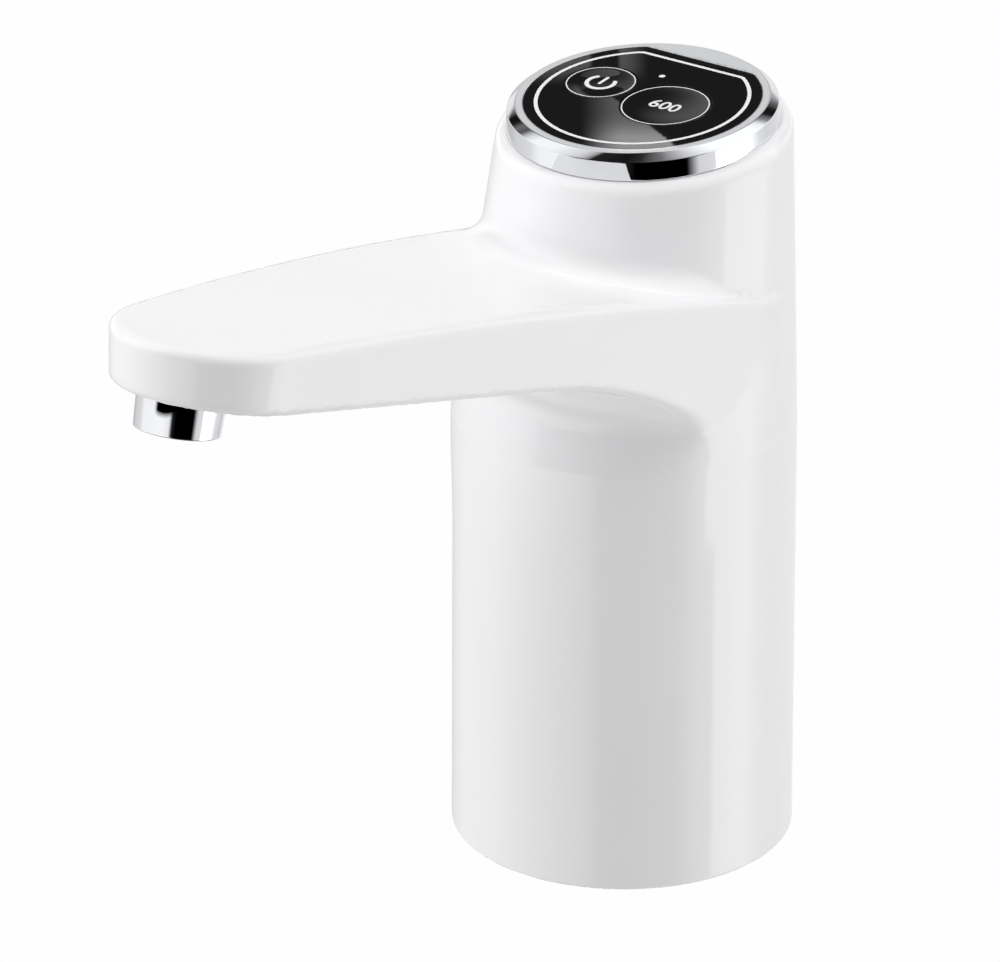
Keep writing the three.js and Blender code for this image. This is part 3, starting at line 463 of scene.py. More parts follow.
def skin_distance(x, y, z):
    """Distance from the whole outer skin, left open below."""
    column = rounded(column_distance(x, y, z), above_seat(y, z), LIP_ROUND)
    above = (z - arm_top(y)) / np.hypot(1, ARM_SLOPE + y / (ARM_BEND / 2))
    below = (arm_under(y) - z) / math.hypot(1, UNDER_SLOPE)
    side = side_distance(x, y, z)
    front = np.abs(np.arctan2(x, -y))
    fillet = TOP_FILLET * smooth(-front, -1.45, -1.0) + 0.5
    top = hollowed(column, above, fillet, fillet)
    bottom = hollowed(column, below, SWEEP_REACH, SWEEP_DROP)
    arm = rounded(rounded(side, top, EDGE_ROUND), bottom, SWEEP_EDGE_ROUND)
    turn = np.arctan2(y, np.abs(x))
    tail = TAIL_SHARE * smooth(turn, -1.0, -0.6) * smooth(-z, -110, -98) * smooth(z, 70, 92)
    share = np.maximum(smooth(turn, -0.16, 0.24), tail)
    return merged(column, arm, CRISP + SOFT * share)


def housing_distance(x, y, z):
    """Distance from the moulded wall: the skin less its hollow, open at the base and the seat."""
    skin = skin_distance(x, y, z)
    along = (y - SEAT_Y) * math.cos(TILT) + (z - SEAT_Z) * math.sin(TILT)
    mouth = np.maximum(np.hypot(x, along) - SEAT_BORE, np.abs(above_seat(y, z)) - 6)
    hollow = np.minimum(skin + WALL, mouth)
    return np.maximum(rounded(skin, -z, BASE_ROUND), -hollow)


at_side = skin_distance(*[np.array(v) for v in (COLUMN_RADIUS, 0.0, 0.0)])
print("skin at the column's side:", round(float(at_side), 3))

# %% [markdown]
# ## From field to mesh
# The field is sampled on a grid that is fine where the shape turns and coarse where the
# column is straight. Each grid cell that the skin passes through gets one point, and four
# neighbours make a face. The points are then slid along the gradient onto the exact skin.

# %% Lay a mesh on the field


def spaced(*stops):
    """Grid lines: pairs of a place and the spacing that leads up to it."""
    lines = [stops[0][0]]
    for place, step in stops[1:]:
        count = max(1, round(abs(place - lines[-1]) / step))
        lines += list(np.linspace(lines[-1], place, count + 1)[1:])
    return np.array(lines)


def field_mesh(field, xs, ys, zs):
    """Points and faces where the field is zero, on a grid with those lines."""
    grid = np.stack(np.meshgrid(xs, ys, zs, indexing="ij"), -1)
    value = field(grid[..., 0], grid[..., 1], grid[..., 2])
    size = value.shape
    total = np.zeros((size[0] - 1, size[1] - 1, size[2] - 1, 3))
    count = np.zeros(total.shape[:3])
    crossings = []
    for axis in range(3):
        others = [(axis + 1) % 3, (axis + 2) % 3]
        low, high = [slice(None)] * 3, [slice(None)] * 3
        low[axis], high[axis] = slice(0, -1), slice(1, None)
        a, b = value[tuple(low)], value[tuple(high)]
        cross = (a < 0) != (b < 0)
        share = np.where(cross, a / np.where(cross, a - b, 1), 0)[..., None]
        spot = (grid[tuple(low)] * (1 - share) + grid[tuple(high)] * share) * cross[..., None]
        for du in (0, 1):
            for dv in (0, 1):
                cut = [slice(None)] * 3
                cut[others[0]] = slice(du, size[others[0]] - 1 + du)
                cut[others[1]] = slice(dv, size[others[1]] - 1 + dv)
                total += spot[tuple(cut)]
                count += cross[tuple(cut)]
        crossings.append((axis, others, np.argwhere(cross), a[cross] < 0))
    used = count > 0
    index = np.full(count.shape, -1)
    index[used] = np.arange(used.sum())
    points = total[used] / count[used][:, None]
    faces = []
    for axis, others, where, rising in crossings:
        inner = np.ones(len(where), bool)
        for other in others:
            inner &= (where[:, other] > 0) & (where[:, other] < size[other] - 1)
        corners = []
        for du, dv in ((1, 1), (0, 1), (0, 0), (1, 0)):
            cell = where[inner].copy()
            cell[:, others[0]] -= du
            cell[:, others[1]] -= dv
            corners.append(index[cell[:, 0], cell[:, 1], cell[:, 2]])
        quads = np.stack(corners, -1)
        flip = ~rising[inner]
        quads[flip] = quads[flip][:, ::-1]
        faces.append(quads)
    return points, np.concatenate(faces)


def gradient(field, points, step=0.02):
    """Direction in which the field grows, at each point."""
    columns = []
    for axis in range(3):
        move = np.zeros(3)
        move[axis] = step
        ahead, behind = (points + move).T, (points - move).T
        columns.append((field(*ahead) - field(*behind)) / (2 * step))
    return np.stack(columns, -1)


def settle(field, points, rounds=4, limit=0.4):
    """Slides points onto the field's zero."""
    for _ in range(rounds):
        slope = gradient(field, points)
        move = slope * (field(*points.T) / np.maximum((slope ** 2).sum(-1), 1e-4))[:, None]
        long = np.maximum(np.linalg.norm(move, axis=-1) / limit, 1)[:, None]
        points = points - move / long
    return points


xs = spaced((-38.0, 1), (38.0, 1.2))
ys = spaced((-161.0, 1), (-112.0, 1.1), (-48.0, 1.4), (40.0, 1.2))
zs = spaced((-0.35, 1), (1.05, 0.35), (84.0, 2.4), (158.0, 1.2), (166.0, 0.8))
shell_points, shell_faces = field_mesh(housing_distance, xs, ys, zs)
shell_points = settle(housing_distance, shell_points)
print("shell:", len(shell_points), "points,", len(shell_faces) * 2, "triangles")

# %% [markdown]
# ## Cutting the shell
# The cover's pocket under the arm, the nozzle's seat, the charging slot and the base's
# inner edge are crisp. A grid can't hold that, so a Boolean cuts them afterwards. All but
# the cone at the base sit where the CAD has them. Then every corner of a face that lies on
# the skin gets the field's own normal, which keeps reflections smooth across the cut faces.

# %% Cut the pocket, the nozzle's seat, the charging slot and the base's inner edge
UNDER_ANGLE = -math.atan(UNDER_SLOPE)
NOZZLE_Y = -TIP_REACH - 10.0
COVER_START, COVER_END = -74, -130
COVER_SIDE = 5.4
COVER_ROOT = 35.2
POCKET = 1.8
LEDGE = 1.8
SLEEVE_HOLE = ((9.2, -6.8), (9.2, 1.55))
ELBOW_HOLE = ((6.55, 0), (6.55, 4.1))
CHARGING_SLOT = (4.8, 31.0, 38.0, 60.0, 64.0)
RIM_CONE = ((35.2, -1), (34.62, 1.6))


def at_nozzle(points):
    """Points in the nozzle's own frame, as millimetres round the column's axis."""
    x, y, z = np.moveaxis(np.asarray(points, float), -1, 0)
    deep = NOZZLE_Y + y * math.cos(UNDER_ANGLE) - z * math.sin(UNDER_ANGLE)
    high = arm_under(NOZZLE_Y) + y * math.sin(UNDER_ANGLE) + z * math.cos(UNDER_ANGLE)
    return np.stack([x, deep, high], -1)


def to_model(points):
    """Millimetres round the column's axis, as metres in the model's frame."""
    return (np.asarray(points, float) + [0, AXIS_Y, 0]) * 0.001


def cover_prism(grow, low, high):
    """Loops of a block under the arm that follows its slope, grown by a margin."""
    loops = []
    for lift in (low, high):
        loop = []
        for end, sign in ((COVER_END, -1), (COVER_END, 1), (COVER_START, 1), (COVER_START, -1)):
            y = end - grow if end == COVER_END else end + grow
            wide = COVER_ROOT - (TIP_RADIUS - COVER_ROOT) * end / TIP_REACH - COVER_SIDE + grow
            loop.append((sign * wide, y, arm_under(y) + lift))
        loops.append(np.array(loop))
    return loops


def cutter(loops):
    """A closed solid to cut with, from rings of points round the column's axis."""
    return skin_piece("cutter", to_model, loops, False, white_abs)


def block_loops(x, y_low, y_high, z_low, z_high):
    """The two end rings of a block."""
    base = np.array([(-x, y_low, 0), (x, y_low, 0), (x, y_high, 0), (-x, y_high, 0)], float)
    return [base + [0, 0, z_low], base + [0, 0, z_high]]


housing = mesh_piece("housing_shell", to_model(shell_points), shell_faces, white_abs)
cutters = [
    cutter(cover_prism(0, -1, POCKET)),
    cutter(cover_prism(-LEDGE, 0, POCKET + 2)),
    cutter(block_loops(*CHARGING_SLOT)),
    cutter(at_nozzle(rings(SLEEVE_HOLE, 96))),
    cutter(at_nozzle(rings(ELBOW_HOLE, 96))),
    cutter(rings(RIM_CONE, 240)),
]
carve(housing, cutters)
print("carved shell:", len(housing.data.polygons), "faces")

# %% Give the shell the field's own normals


def field_normals(data):
    """Sets smooth normals from the field where a corner lies on the skin, flat ones elsewhere."""
    count = len(data.vertices)
    spots = np.empty(count * 3, np.float32)
    data.vertices.foreach_get("co", spots)
    spots = spots.reshape(-1, 3).astype(float) * 1000 - [0, AXIS_Y, 0]
    slope = gradient(housing_distance, spots)
    slope /= np.maximum(np.linalg.norm(slope, axis=-1), 1e-6)[:, None]
    near = np.abs(housing_distance(*spots.T)) < 0.05
    corners = np.empty(len(data.loops), np.int32)
    data.loops.foreach_get("vertex_index", corners)
    flat = np.empty(len(data.polygons) * 3, np.float32)
    data.polygons.foreach_get("normal", flat)
    sizes = np.empty(len(data.polygons), np.int32)
    data.polygons.foreach_get("loop_total", sizes)
    flat = np.repeat(flat.reshape(-1, 3).astype(float), sizes, axis=0)
    agree = near[corners] & ((slope[corners] * flat).sum(-1) > 0.7)
    data.normals_split_custom_set(np.where(agree[:, None], slope[corners], flat).tolist())


field_normals(housing.data)
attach(housing, "housing")
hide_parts("main_housing")
print("shell done")

# %% [markdown]
# ## The chrome ring
# The ring is a turned shape outside, with a flat top, a narrow bevel and an upright wall,
# but its opening is round with one flat side. Both outlines are given for the same set of
# angles and joined by rings of faces, so no cut is needed and the edges stay round.

# %% Chrome ring round the panel
PANEL_RADIUS = 25.1
PANEL_CHORD = 21.1
PANEL_CORNER = 2.4


def flat_sided(radius, chord, corner, count):
    """Radius of a circle with one flat side and rounded corners, at equal angles."""
    rise = chord - corner
    side = math.sqrt((radius - corner) ** 2 - rise ** 2)
    reach = []
    for a in np.arange(count) * 2 * math.pi / count:
        cx, sy = math.cos(a), math.sin(a)
        across = abs(cx)
        near = across * side + sy * rise
        corner_hit = near + math.sqrt(max(corner ** 2 - (side ** 2 + rise ** 2 - near ** 2), 0))
        low = math.atan2(rise, side)
        up = math.atan2(sy, across)
        if up < low:
            reach.append(radius)
        elif sy > 0 and chord / sy * across < side:
            reach.append(chord / sy)
        else:
            reach.append(corner_hit)
    return np.array(reach)


def shaped(reach, height):
    """A ring of points at equal angles with a radius for each."""
    turn = np.arange(len(reach)) * 2 * math.pi / len(reach)
    return np.stack([reach * np.cos(turn), reach * np.sin(turn), np.full(len(reach), height)], -1)


TURNS = 384
opening = flat_sided(PANEL_RADIUS, PANEL_CHORD, PANEL_CORNER, TURNS)
outside = [
    (27.65, -4.0), (27.65, -5.52), (28.74, -5.52), (28.86, -5.48), (28.9, -5.38), (28.89, -5.2),
    (28.57, -1.66), (28.56, -1.54), (28.54, -1.44), (28.51, -1.36), (28.46, -1.3), (27.0, -0.17),
    (26.94, -0.12), (26.84, -0.04), (26.74, 0), (26.62, 0),
]
edge_of_opening = [(0.14, 0), (0.05, 0), (0.015, -0.015), (0, -0.05), (0, -4.0)]
loops = list(rings(outside, TURNS))
loops += [shaped(opening + wide, height) for wide, height in edge_of_opening]
ring = skin_piece("chrome_ring", on_panel, loops, True, chrome_plate, 50)
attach(ring, "housing")
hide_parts("trim_ring")
print("ring:", len(ring.data.polygons), "faces")

# %% [markdown]
# ## The touch panel
# The panel is a flat plate inside the ring with holes for two buttons and a lamp. Its
# outline comes from the same function as the ring's opening, a hair smaller. The holes are
# cut with a Boolean, which suits round holes through a flat plate.

# %% Panel plate
BUTTONS = {"power": (-12.0, 1.8, 7.7), "dose": (6.4, -0.8, 9.6)}
LAMP = (-2.6, 10.8, 0.75)
PANEL_TOP = -0.04
PANEL_GAP = 0.08
HOLE_GAP = 0.15
inner = flat_sided(PANEL_RADIUS - PANEL_GAP, PANEL_CHORD - PANEL_GAP, PANEL_CORNER, TURNS)
rows = [(0, -2.2), (0, -0.1), (0.02, -0.055), (0.06, PANEL_TOP)]
loops = [shaped(inner - inwards, height) for inwards, height in rows]
panel = skin_piece("touch_panel", on_panel, loops, False, black_acrylic, 50)
holes = []
for x, y, radius in [*BUTTONS.values(), LAMP]:
    wide = radius + HOLE_GAP
    loops = rings(((wide, -4), (wide, 2)), 128) + [x, y, 0]
    holes.append(skin_piece("hole", on_panel, loops, False, black_acrylic))
carve(panel, holes)
panel.data.set_sharp_from_angle(angle=math.radians(8))
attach(panel, "housing")
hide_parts("control_panel")
print("panel:", len(panel.data.polygons), "faces")

# %% [markdown]
# ## Buttons
# Each button is a turned cap with a shallow dish for the fingertip. The dish makes its
# reflection run from light to dark, which a flat disc wouldn't show. The black card further
# down adds to that run with a painted sheen inside each button's circle. A thin white line is
# printed just inside its edge.

# %% Button caps
BUTTON_TOP = -0.1
BUTTON_DISH = 0.06
BUTTON_FLANGE = 0.45
STEM_RADIUS = 1.6


def dished(reach, radius):
    """Height of a cap's face at a distance from its centre."""
    share = np.minimum(np.asarray(reach, float) / radius, 1)
    return BUTTON_TOP - BUTTON_DISH * (1 - share ** 2) ** 1.5


def button_profile(radius):
    """Radius and height pairs of a cap, from its centre over the rim and down to its stem."""
    reaches = radius * np.linspace(0.02, 0.93, 26)
    face = list(zip(reaches, dished(reaches, radius)))
    rim = [(radius - 0.3, BUTTON_TOP), (radius - 0.14, -0.12), (radius - 0.04, -0.2), (radius, -0.3)]
    flange = radius + BUTTON_FLANGE
    below = [(radius, -2.5), (flange, -2.5), (flange, -3.1)]
    return face + rim + below + [(STEM_RADIUS, -3.1), (STEM_RADIUS, -7.35)]


for name, (x, y, radius) in BUTTONS.items():
    loops = rings(button_profile(radius), 128) + [x, y, 0]
    cap = skin_piece(name + "_cap", on_panel, loops[::-1], False, black_acrylic, 40)
    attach(cap, name + "_button")
    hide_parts(name + "_button")
    print(cap.name, len(cap.data.polygons), "faces")

# %% [markdown]
# ## Printed marks
# The marks are screen ink about a twentieth of a millimetre thick. They are made as thin
# solid pieces a hair above the surface, so they stay crisp at any size. The line follows
# the panel's own outline, the sign is the usual one for power, and the digits say how much
# one press pours.

# %% Line round the panel
INK = 0.04
LINE_WIDE = 0.8
line_outer = flat_sided(22.75, 18.75, 2.2, TURNS)
line_inner = flat_sided(22.75 - LINE_WIDE, 18.75 - LINE_WIDE, 2.0, TURNS)


def ink_band(name, outer, inner_edge, lift, body, shift=(0, 0)):
    """A thin closed band of ink between two outlines."""
    rows = [(outer, lift), (outer, lift + INK), (inner_edge, lift + INK), (inner_edge, lift)]
    loops = [shaped(edge, height) + [*shift, 0] for edge, height in rows]
    made = skin_piece(name, on_panel, loops, True, screen_ink, 30)
    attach(made, body)
    return made


ink_band("panel_line", line_outer, line_inner, PANEL_TOP, "housing")
for name, (x, y, radius) in BUTTONS.items():
    edge = np.full(160, radius - 0.32)
    ink_band(name + "_outline", edge, edge - 0.24, BUTTON_TOP, name + "_button", (x, y))
print("lines printed")

# %% [markdown]
# ## Power sign and digits
# The sign is an open circle with a bar through its gap. Each line of it is a row of small
# cross sections along its middle, narrower at both ends so that the ends are round, and
# every section lies on the cap's dish. The digits come from Blender's own font, and each of
# their points is then lowered onto the dish.

# %% Power sign


def ink_stroke(name, spine, half, place, body):
    """A raised line of ink with round ends along points on a cap, in millimetres."""
    x, y, radius = place
    spine = np.asarray(spine, float)
    ahead = np.gradient(spine, axis=0)
    ahead /= np.linalg.norm(ahead, axis=-1)[:, None]
    aside = np.stack([-ahead[:, 1], ahead[:, 0]], -1)
    gone = np.concatenate([[0], np.cumsum(np.linalg.norm(np.diff(spine, axis=0), axis=-1))])
    near_end = np.clip(1 - np.minimum(gone, gone[-1] - gone) / half, 0, 0.98)
    wide = (half * np.sqrt(1 - near_end ** 2))[:, None]
    loops = []
    for side, lift in ((-1, -0.02), (1, -0.02), (1, 0.035), (-1, 0.035)):
        edge = spine + aside * wide * side
        high = dished(np.hypot(edge[:, 0], edge[:, 1]), radius) + lift
        loops.append(np.column_stack([edge + [x, y], high]))
    made = skin_piece(name, on_panel, list(np.stack(loops, 1)), False, screen_ink, 30)
    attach(made, body)
    return made


ARC_RADIUS, ARC_HALF = 3.0, 0.47
BAR_LOW, BAR_HIGH, BAR_HALF = -0.9, 2.95, 0.36
turn = np.radians(np.linspace(129, 403, 80))
arc = np.stack([ARC_RADIUS * np.cos(turn), ARC_RADIUS * np.sin(turn)], -1)
ink_stroke("power_sign_arc", arc, ARC_HALF, BUTTONS["power"], "power_button")
bar = np.stack([np.zeros(24), np.linspace(BAR_LOW, BAR_HIGH, 24)], -1)
ink_stroke("power_sign_bar", bar, BAR_HALF, BUTTONS["power"], "power_button")
print("sign printed")

# %% Digits on the dose button
letters = bpy.data.curves.new("digits", "FONT")
letters.body = "600"
letters.size = 4.9
letters.offset = 0.07
letters.align_x, letters.align_y = "CENTER", "CENTER"
letters.extrude = 0.025
letters.resolution_u = 8
text = bpy.data.objects.new("digits", letters)
bpy.context.scene.collection.objects.link(text)
digit_mesh = baked(text)
spots = np.array([v.co for v in digit_mesh.vertices], float)
spots[:, :2] -= (spots[:, :2].max(0) + spots[:, :2].min(0)) / 2
dose_x, dose_y, dose_radius = BUTTONS["dose"]
spots[:, 2] += dished(np.hypot(spots[:, 0], spots[:, 1]), dose_radius) + 0.015
faces = [tuple(f.vertices) for f in digit_mesh.polygons]
placed = on_panel(spots + [dose_x, dose_y, 0])
digits = mesh_piece("dose_digits", placed, faces, screen_ink, 30)
bpy.data.objects.remove(text)
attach(digits, "dose_button")
print("digits:", len(faces), "faces, size", np.ptp(spots[:, :2], axis=0).round(2), "mm")

# %% [markdown]
# ## Chrome nozzle
# The nozzle is a short turned sleeve set square to the arm's underside. Its tip is hollow
# and holds the spray insert. The profile has small rounded edges, because a plated edge
# always catches a bright line of light.

# %% Nozzle sleeve
sleeve_profile = [
    (4.9, -1.4), (7.2, -1.4), (7.2, -6.7), (7.27, -6.78), (7.4, -6.8), (8.35, -6.8), (8.5, -6.76),
    (8.61, -6.66), (8.65, -6.5), (8.895, -0.2), (8.9, 0), (8.9, 1.2), (8.84, 1.34), (8.7, 1.4),
    (6.4, 1.4), (6.4, 6.6), (4.9, 6.6),
]
loops = at_nozzle(rings(sleeve_profile, 160))
sleeve = skin_piece("chrome_nozzle", to_model, loops, True, chrome_plate, 40)
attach(sleeve, "housing")
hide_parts("nozzle_sleeve")
print("nozzle:", len(sleeve.data.polygons), "faces")

# %% [markdown]
# ## Screws
# Eight pan-head screws hold the collar, the board and the pump together. They are cold
# formed and zinc plated, with a cross recess struck into the head and a rolled thread. One
# turned blank is made for each length. A Geometry Nodes tree strikes the recess and sets
# the screw at every point, because all screws of one kind are the same.

# %% Trees, and a mesh grown by one
CUTS = {"operation": "DIFFERENCE", "solver": "MANIFOLD"}


def rule(name, sizes):
    """An empty Geometry Nodes tree with a geometry and named sizes as its inputs."""
    made = bpy.data.node_groups.new(name, "GeometryNodeTree")
    made.interface.new_socket("Geometry", in_out="OUTPUT", socket_type="NodeSocketGeometry")
    made.interface.new_socket("Geometry", in_out="INPUT", socket_type="NodeSocketGeometry")
    for title, kind in sizes.items():
        made.interface.new_socket(title, in_out="INPUT", socket_type="NodeSocket" + kind)
    return made, node(made, "NodeGroupInput").outputs


def set_at_points(tree, given, instance):
    """Sets an instance at each point of the base, turned, and ends the tree's chain."""
    placed = node(tree, "GeometryNodeInstanceOnPoints", {
        "Points": given["Geometry"], "Instance": instance, "Rotation": given["Turn"],
    })
    return node(tree, "GeometryNodeRealizeInstances", {"Geometry": placed.outputs[0]}).outputs[0]


def ended(tree, given, shape):
    """Gives the shape its material and hands it out of the tree."""
    painted = node(tree, "GeometryNodeSetMaterial", {"Geometry": shape, "Material": given["Finish"]})
    node(tree, "NodeGroupOutput", {"Geometry": painted.outputs[0]})


def grown(name, tree, points, faces, values, angle=35):
    """A plain mesh object that a tree grows from a base mesh."""
    made = mesh_piece(name, points, faces, values["Finish"])
    grower = made.modifiers.new("rule", "NODES")
    grower.node_group = tree
    for item in tree.interface.items_tree:
        if item.in_out == "INPUT" and item.name in values:
            grower[item.identifier] = values[item.name]
    plain = baked(made)
    made.modifiers.clear()
    made.data = plain
    plain.shade_smooth()
    plain.set_sharp_from_angle(angle=math.radians(angle))
    return made


print("trees cut with", CUTS["solver"])

# %% Screws with a cross recess
screw_tree, given = rule("screw_set", {
    "Blank": "Object", "Recess": "Float", "Slot": "Float", "Head height": "Float", "Turn": "Vector",
    "Finish": "Material",
})
blank = node(screw_tree, "GeometryNodeObjectInfo", {"Object": given["Blank"]})
struck = node(screw_tree, "GeometryNodeMeshBoolean", {0: blank.outputs["Geometry"]}, **CUTS)
head_height = given["Head height"]
lift = node(screw_tree, "ShaderNodeCombineXYZ", {"Z": head_height}).outputs[0]
for wide, deep in (("Recess", "Slot"), ("Slot", "Recess")):
    sides = {"X": given[wide], "Y": given[deep], "Z": head_height}
    size = node(screw_tree, "ShaderNodeCombineXYZ", sides)
    punch = node(screw_tree, "GeometryNodeMeshCube", {"Size": size.outputs[0]}).outputs["Mesh"]
    raised = node(screw_tree, "GeometryNodeTransform", {"Geometry": punch, "Translation": lift})
    screw_tree.links.new(raised.outputs[0], struck.inputs[1])
ended(screw_tree, given, set_at_points(screw_tree, given, struck.outputs["Mesh"]))

SCREW_HEAD = 2.3
SCREW_SHANK = 1.1
THREAD_PITCH = 0.7


def screw_blank(tall, shank, length):
    """A turned pan-head blank with its seat at zero and its thread pointing down."""
    head = [
        (0.02, tall), (1.25, tall), (1.8, tall - 0.1), (2.15, tall - 0.34), (SCREW_HEAD, tall - 0.7),
        (SCREW_HEAD, 0.12), (SCREW_HEAD - 0.12, 0),
    ]
    thread = [(shank, 0), (shank, -0.5)]
    for z in np.arange(THREAD_PITCH, length - 1.1, THREAD_PITCH):
        thread += [(shank - 0.2, -z), (shank, -z - 0.22), (shank, -z - 0.3)]
    rows = head + thread + [(shank - 0.25, -length + 0.6), (0.05, -length)]
    loops = rings(rows, 48) * 0.001
    return skin_piece("screw_blank", np.array, loops[::-1], False, zinc_steel)


collar_spots = np.array([(16, 58.75, 37.9), (-16, 58.75, 37.9), (0, 41.73, 37.9)]) * 0.001
board_spots = on_panel([(0, -20, -12.95), (-17.32, 10, -12.95), (17.32, 10, -12.95)])
pump_spots = np.array([(14.6, 45.73, 114.1), (-14.6, 45.73, 114.1)]) * 0.001
# where they sit, head height and length in millimetres, turn, and the letters in their names
screw_sets = {
    "collar_screw": (collar_spots, 1.5, 7.1, math.pi, "abc"),
    "board_screw": (board_spots, 1.5, 4.8, math.pi + TILT, "abc"),
    "pump_screw": (pump_spots, 1.4, 15.4, 0.0, "ab"),
}
for name, (spots, tall, length, turned_by, letters_used) in screw_sets.items():
    tool = screw_blank(tall, SCREW_SHANK, length)
    screws = grown(name + "s", screw_tree, spots, [], {
        "Blank": tool, "Recess": 0.0026, "Slot": 0.0006, "Head height": tall * 0.001,
        "Turn": (turned_by, 0.0, 0.0), "Finish": zinc_steel,
    })
    bpy.data.objects.remove(tool)
    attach(screws, "housing")
    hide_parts(*[name + "_" + letter for letter in letters_used])
    print(screws.name, len(screws.data.polygons), "faces")

# %% [markdown]
# ## Spray insert
# A clear moulded cup inside the nozzle breaks the water into a soft spray. Its floor has a
# pattern of small holes that the tool's pins leave. The holes repeat by a rule, rings of
# six more each time, so a tree sets a pin at every point and takes them all out at once.

# %% Spray insert with its holes
spray_tree, given = rule("spray_holes", {
    "Cup": "Object", "Hole radius": "Float", "Pin length": "Float", "Turn": "Vector",
    "Finish": "Material",
})
cup = node(spray_tree, "GeometryNodeObjectInfo", {"Object": given["Cup"]})
pin = node(spray_tree, "GeometryNodeMeshCylinder", {
    "Vertices": 20, "Radius": given["Hole radius"], "Depth": given["Pin length"],
})
pins = set_at_points(spray_tree, given, pin.outputs["Mesh"])
cut = {0: cup.outputs["Geometry"], 1: pins}
drilled = node(spray_tree, "GeometryNodeMeshBoolean", cut, **CUTS)
ended(spray_tree, given, drilled.outputs["Mesh"])
cup_profile = [
    (0.02, -4.2), (5.85, -4.2), (6.05, -4.0), (6.05, -1.85), (6.2, -1.7), (6.9, -1.7),
    (7.05, -1.85), (7.05, -6.05), (6.9, -6.2), (6.2, -6.2), (6.05, -6.05), (6.05, -5.35),
    (5.9, -5.2), (0.02, -5.2),
]
loops = at_nozzle(rings(cup_profile, 96))[::-1]
tool = skin_piece("cup", to_model, loops, False, clear_plastic)
HOLE_PITCH = 1.33
HOLE_HEIGHT = -4.7
pattern = [(0.0, 0.0, HOLE_HEIGHT)]
for k in range(1, 5):
    pattern += [tuple(p) for p in circle(HOLE_PITCH * k, HOLE_HEIGHT, 6 * k)]
spray = grown("spray_insert", spray_tree, to_model(at_nozzle(pattern)), [], {
    "Cup": tool, "Hole radius": 0.0004, "Pin length": 0.003, "Turn": (UNDER_ANGLE, 0.0, 0.0),
    "Finish": clear_plastic,
})
bpy.data.objects.remove(tool)
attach(spray, "housing")
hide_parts("aerator_insert")
print("spray insert:", len(pattern), "holes,", len(spray.data.polygons), "faces")

# %% [markdown]
# ## Neck gasket
# A silicone sleeve inside the collar grips the jug's neck with three soft ribs. It is
# moulded in one piece. The ribs are one ring repeated at an even pitch, so a tree lays them
# along a line and joins them to the sleeve.

# %% Gasket with three ribs
rib_tree, given = rule("gasket_ribs", {
    "First": "Vector", "Count": "Int", "Pitch": "Float", "Ring radius": "Float",
    "Rib radius": "Float", "Finish": "Material",
})
step_up = node(rib_tree, "ShaderNodeCombineXYZ", {"Z": given["Pitch"]})
line = node(rib_tree, "GeometryNodeMeshLine", {
    "Count": given["Count"], "Start Location": given["First"], "Offset": step_up.outputs[0],
})
rib = node(rib_tree, "GeometryNodeCurveToMesh")
for use, count, size in (("Curve", 160, "Ring radius"), ("Profile Curve", 16, "Rib radius")):
    sizes = {"Resolution": count, "Radius": given[size]}
    ring_line = node(rib_tree, "GeometryNodeCurvePrimitiveCircle", sizes)
    rib_tree.links.new(ring_line.outputs["Curve"], rib.inputs[use])
laid = node(rib_tree, "GeometryNodeInstanceOnPoints", {
    "Points": line.outputs["Mesh"], "Instance": rib.outputs["Mesh"],
})
ribs = node(rib_tree, "GeometryNodeRealizeInstances", {"Geometry": laid.outputs[0]})
joined = node(rib_tree, "GeometryNodeJoinGeometry")
for shape in (given["Geometry"], ribs.outputs[0]):
    rib_tree.links.new(shape, joined.inputs[0])
ended(rib_tree, given, joined.outputs[0])
sleeve_rows = [
    (27.1, 4.7), (27.4, 4.4), (28.4, 4.4), (28.55, 4.55), (28.55, 19.45), (28.4, 19.6),
    (27.4, 19.6), (27.1, 19.3),
]
points, faces = loop_mesh(rings(sleeve_rows, 160), True)
gasket = grown("neck_gasket_ribbed", rib_tree, to_model(points), faces, {
    "First": (0.0, AXIS_Y * 0.001, 0.0068), "Count": 3, "Pitch": 0.0048,
    "Ring radius": 0.02715, "Rib radius": 0.00064, "Finish": silicone,
})
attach(gasket, "housing")
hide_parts("neck_gasket")
print("gasket:", len(gasket.data.polygons), "faces")

# %% [markdown]
# ## Floor
# The photograph stands on a white sweep so bright that no shadow is left on it. A large
# sheet that glows does that: it is white to the camera and a little dimmer as a light, so
# it fills the underside softly. It is hidden from mirror rays, because the chrome and the
# gloss mirror the studio's own panels, which the room carries.

# %% Floor
FLOOR_HALF = 4
FLOOR_GAP = 0.0002
floor_material, tree = surface("glowing_white_sweep")
path = node(tree, "ShaderNodeLightPath")
bright = node(tree, "ShaderNodeEmission", {"Color": linear("fefefe"), "Strength": 1.0})
dim = node(tree, "ShaderNodeEmission", {"Color": linear("fefefe"), "Strength": 0.8})
to_camera = path.outputs["Is Camera Ray"]
sweep = node(tree, "ShaderNodeMixShader", {0: to_camera, 1: dim.outputs[0], 2: bright.outputs[0]})
node(tree, "ShaderNodeOutputMaterial", {"Surface": sweep.outputs[0]})
corners = [(FLOOR_HALF * x, FLOOR_HALF * y, 0) for x, y in ((-1, -1), (1, -1), (1, 1), (-1, 1))]
floor = mesh_piece("floor", corners, [(0, 1, 2, 3)], floor_material)
floor.location.z = -FLOOR_GAP
floor.visible_glossy = False
floor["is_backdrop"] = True
print("floor laid")

# %% [markdown]
# ## The room that the gloss mirrors
# Chrome shows nothing but the room, so the room is drawn from what the ring shows in the
# photograph. Strips of light and dark run round the ground, the horizon, eye level and the
# upper sky, and the height of a mirrored ray picks between them. The dark field near the
# camera makes the black block on the ring's wall, and the bright softbox at the right makes
# the sharp upright edge on the column.

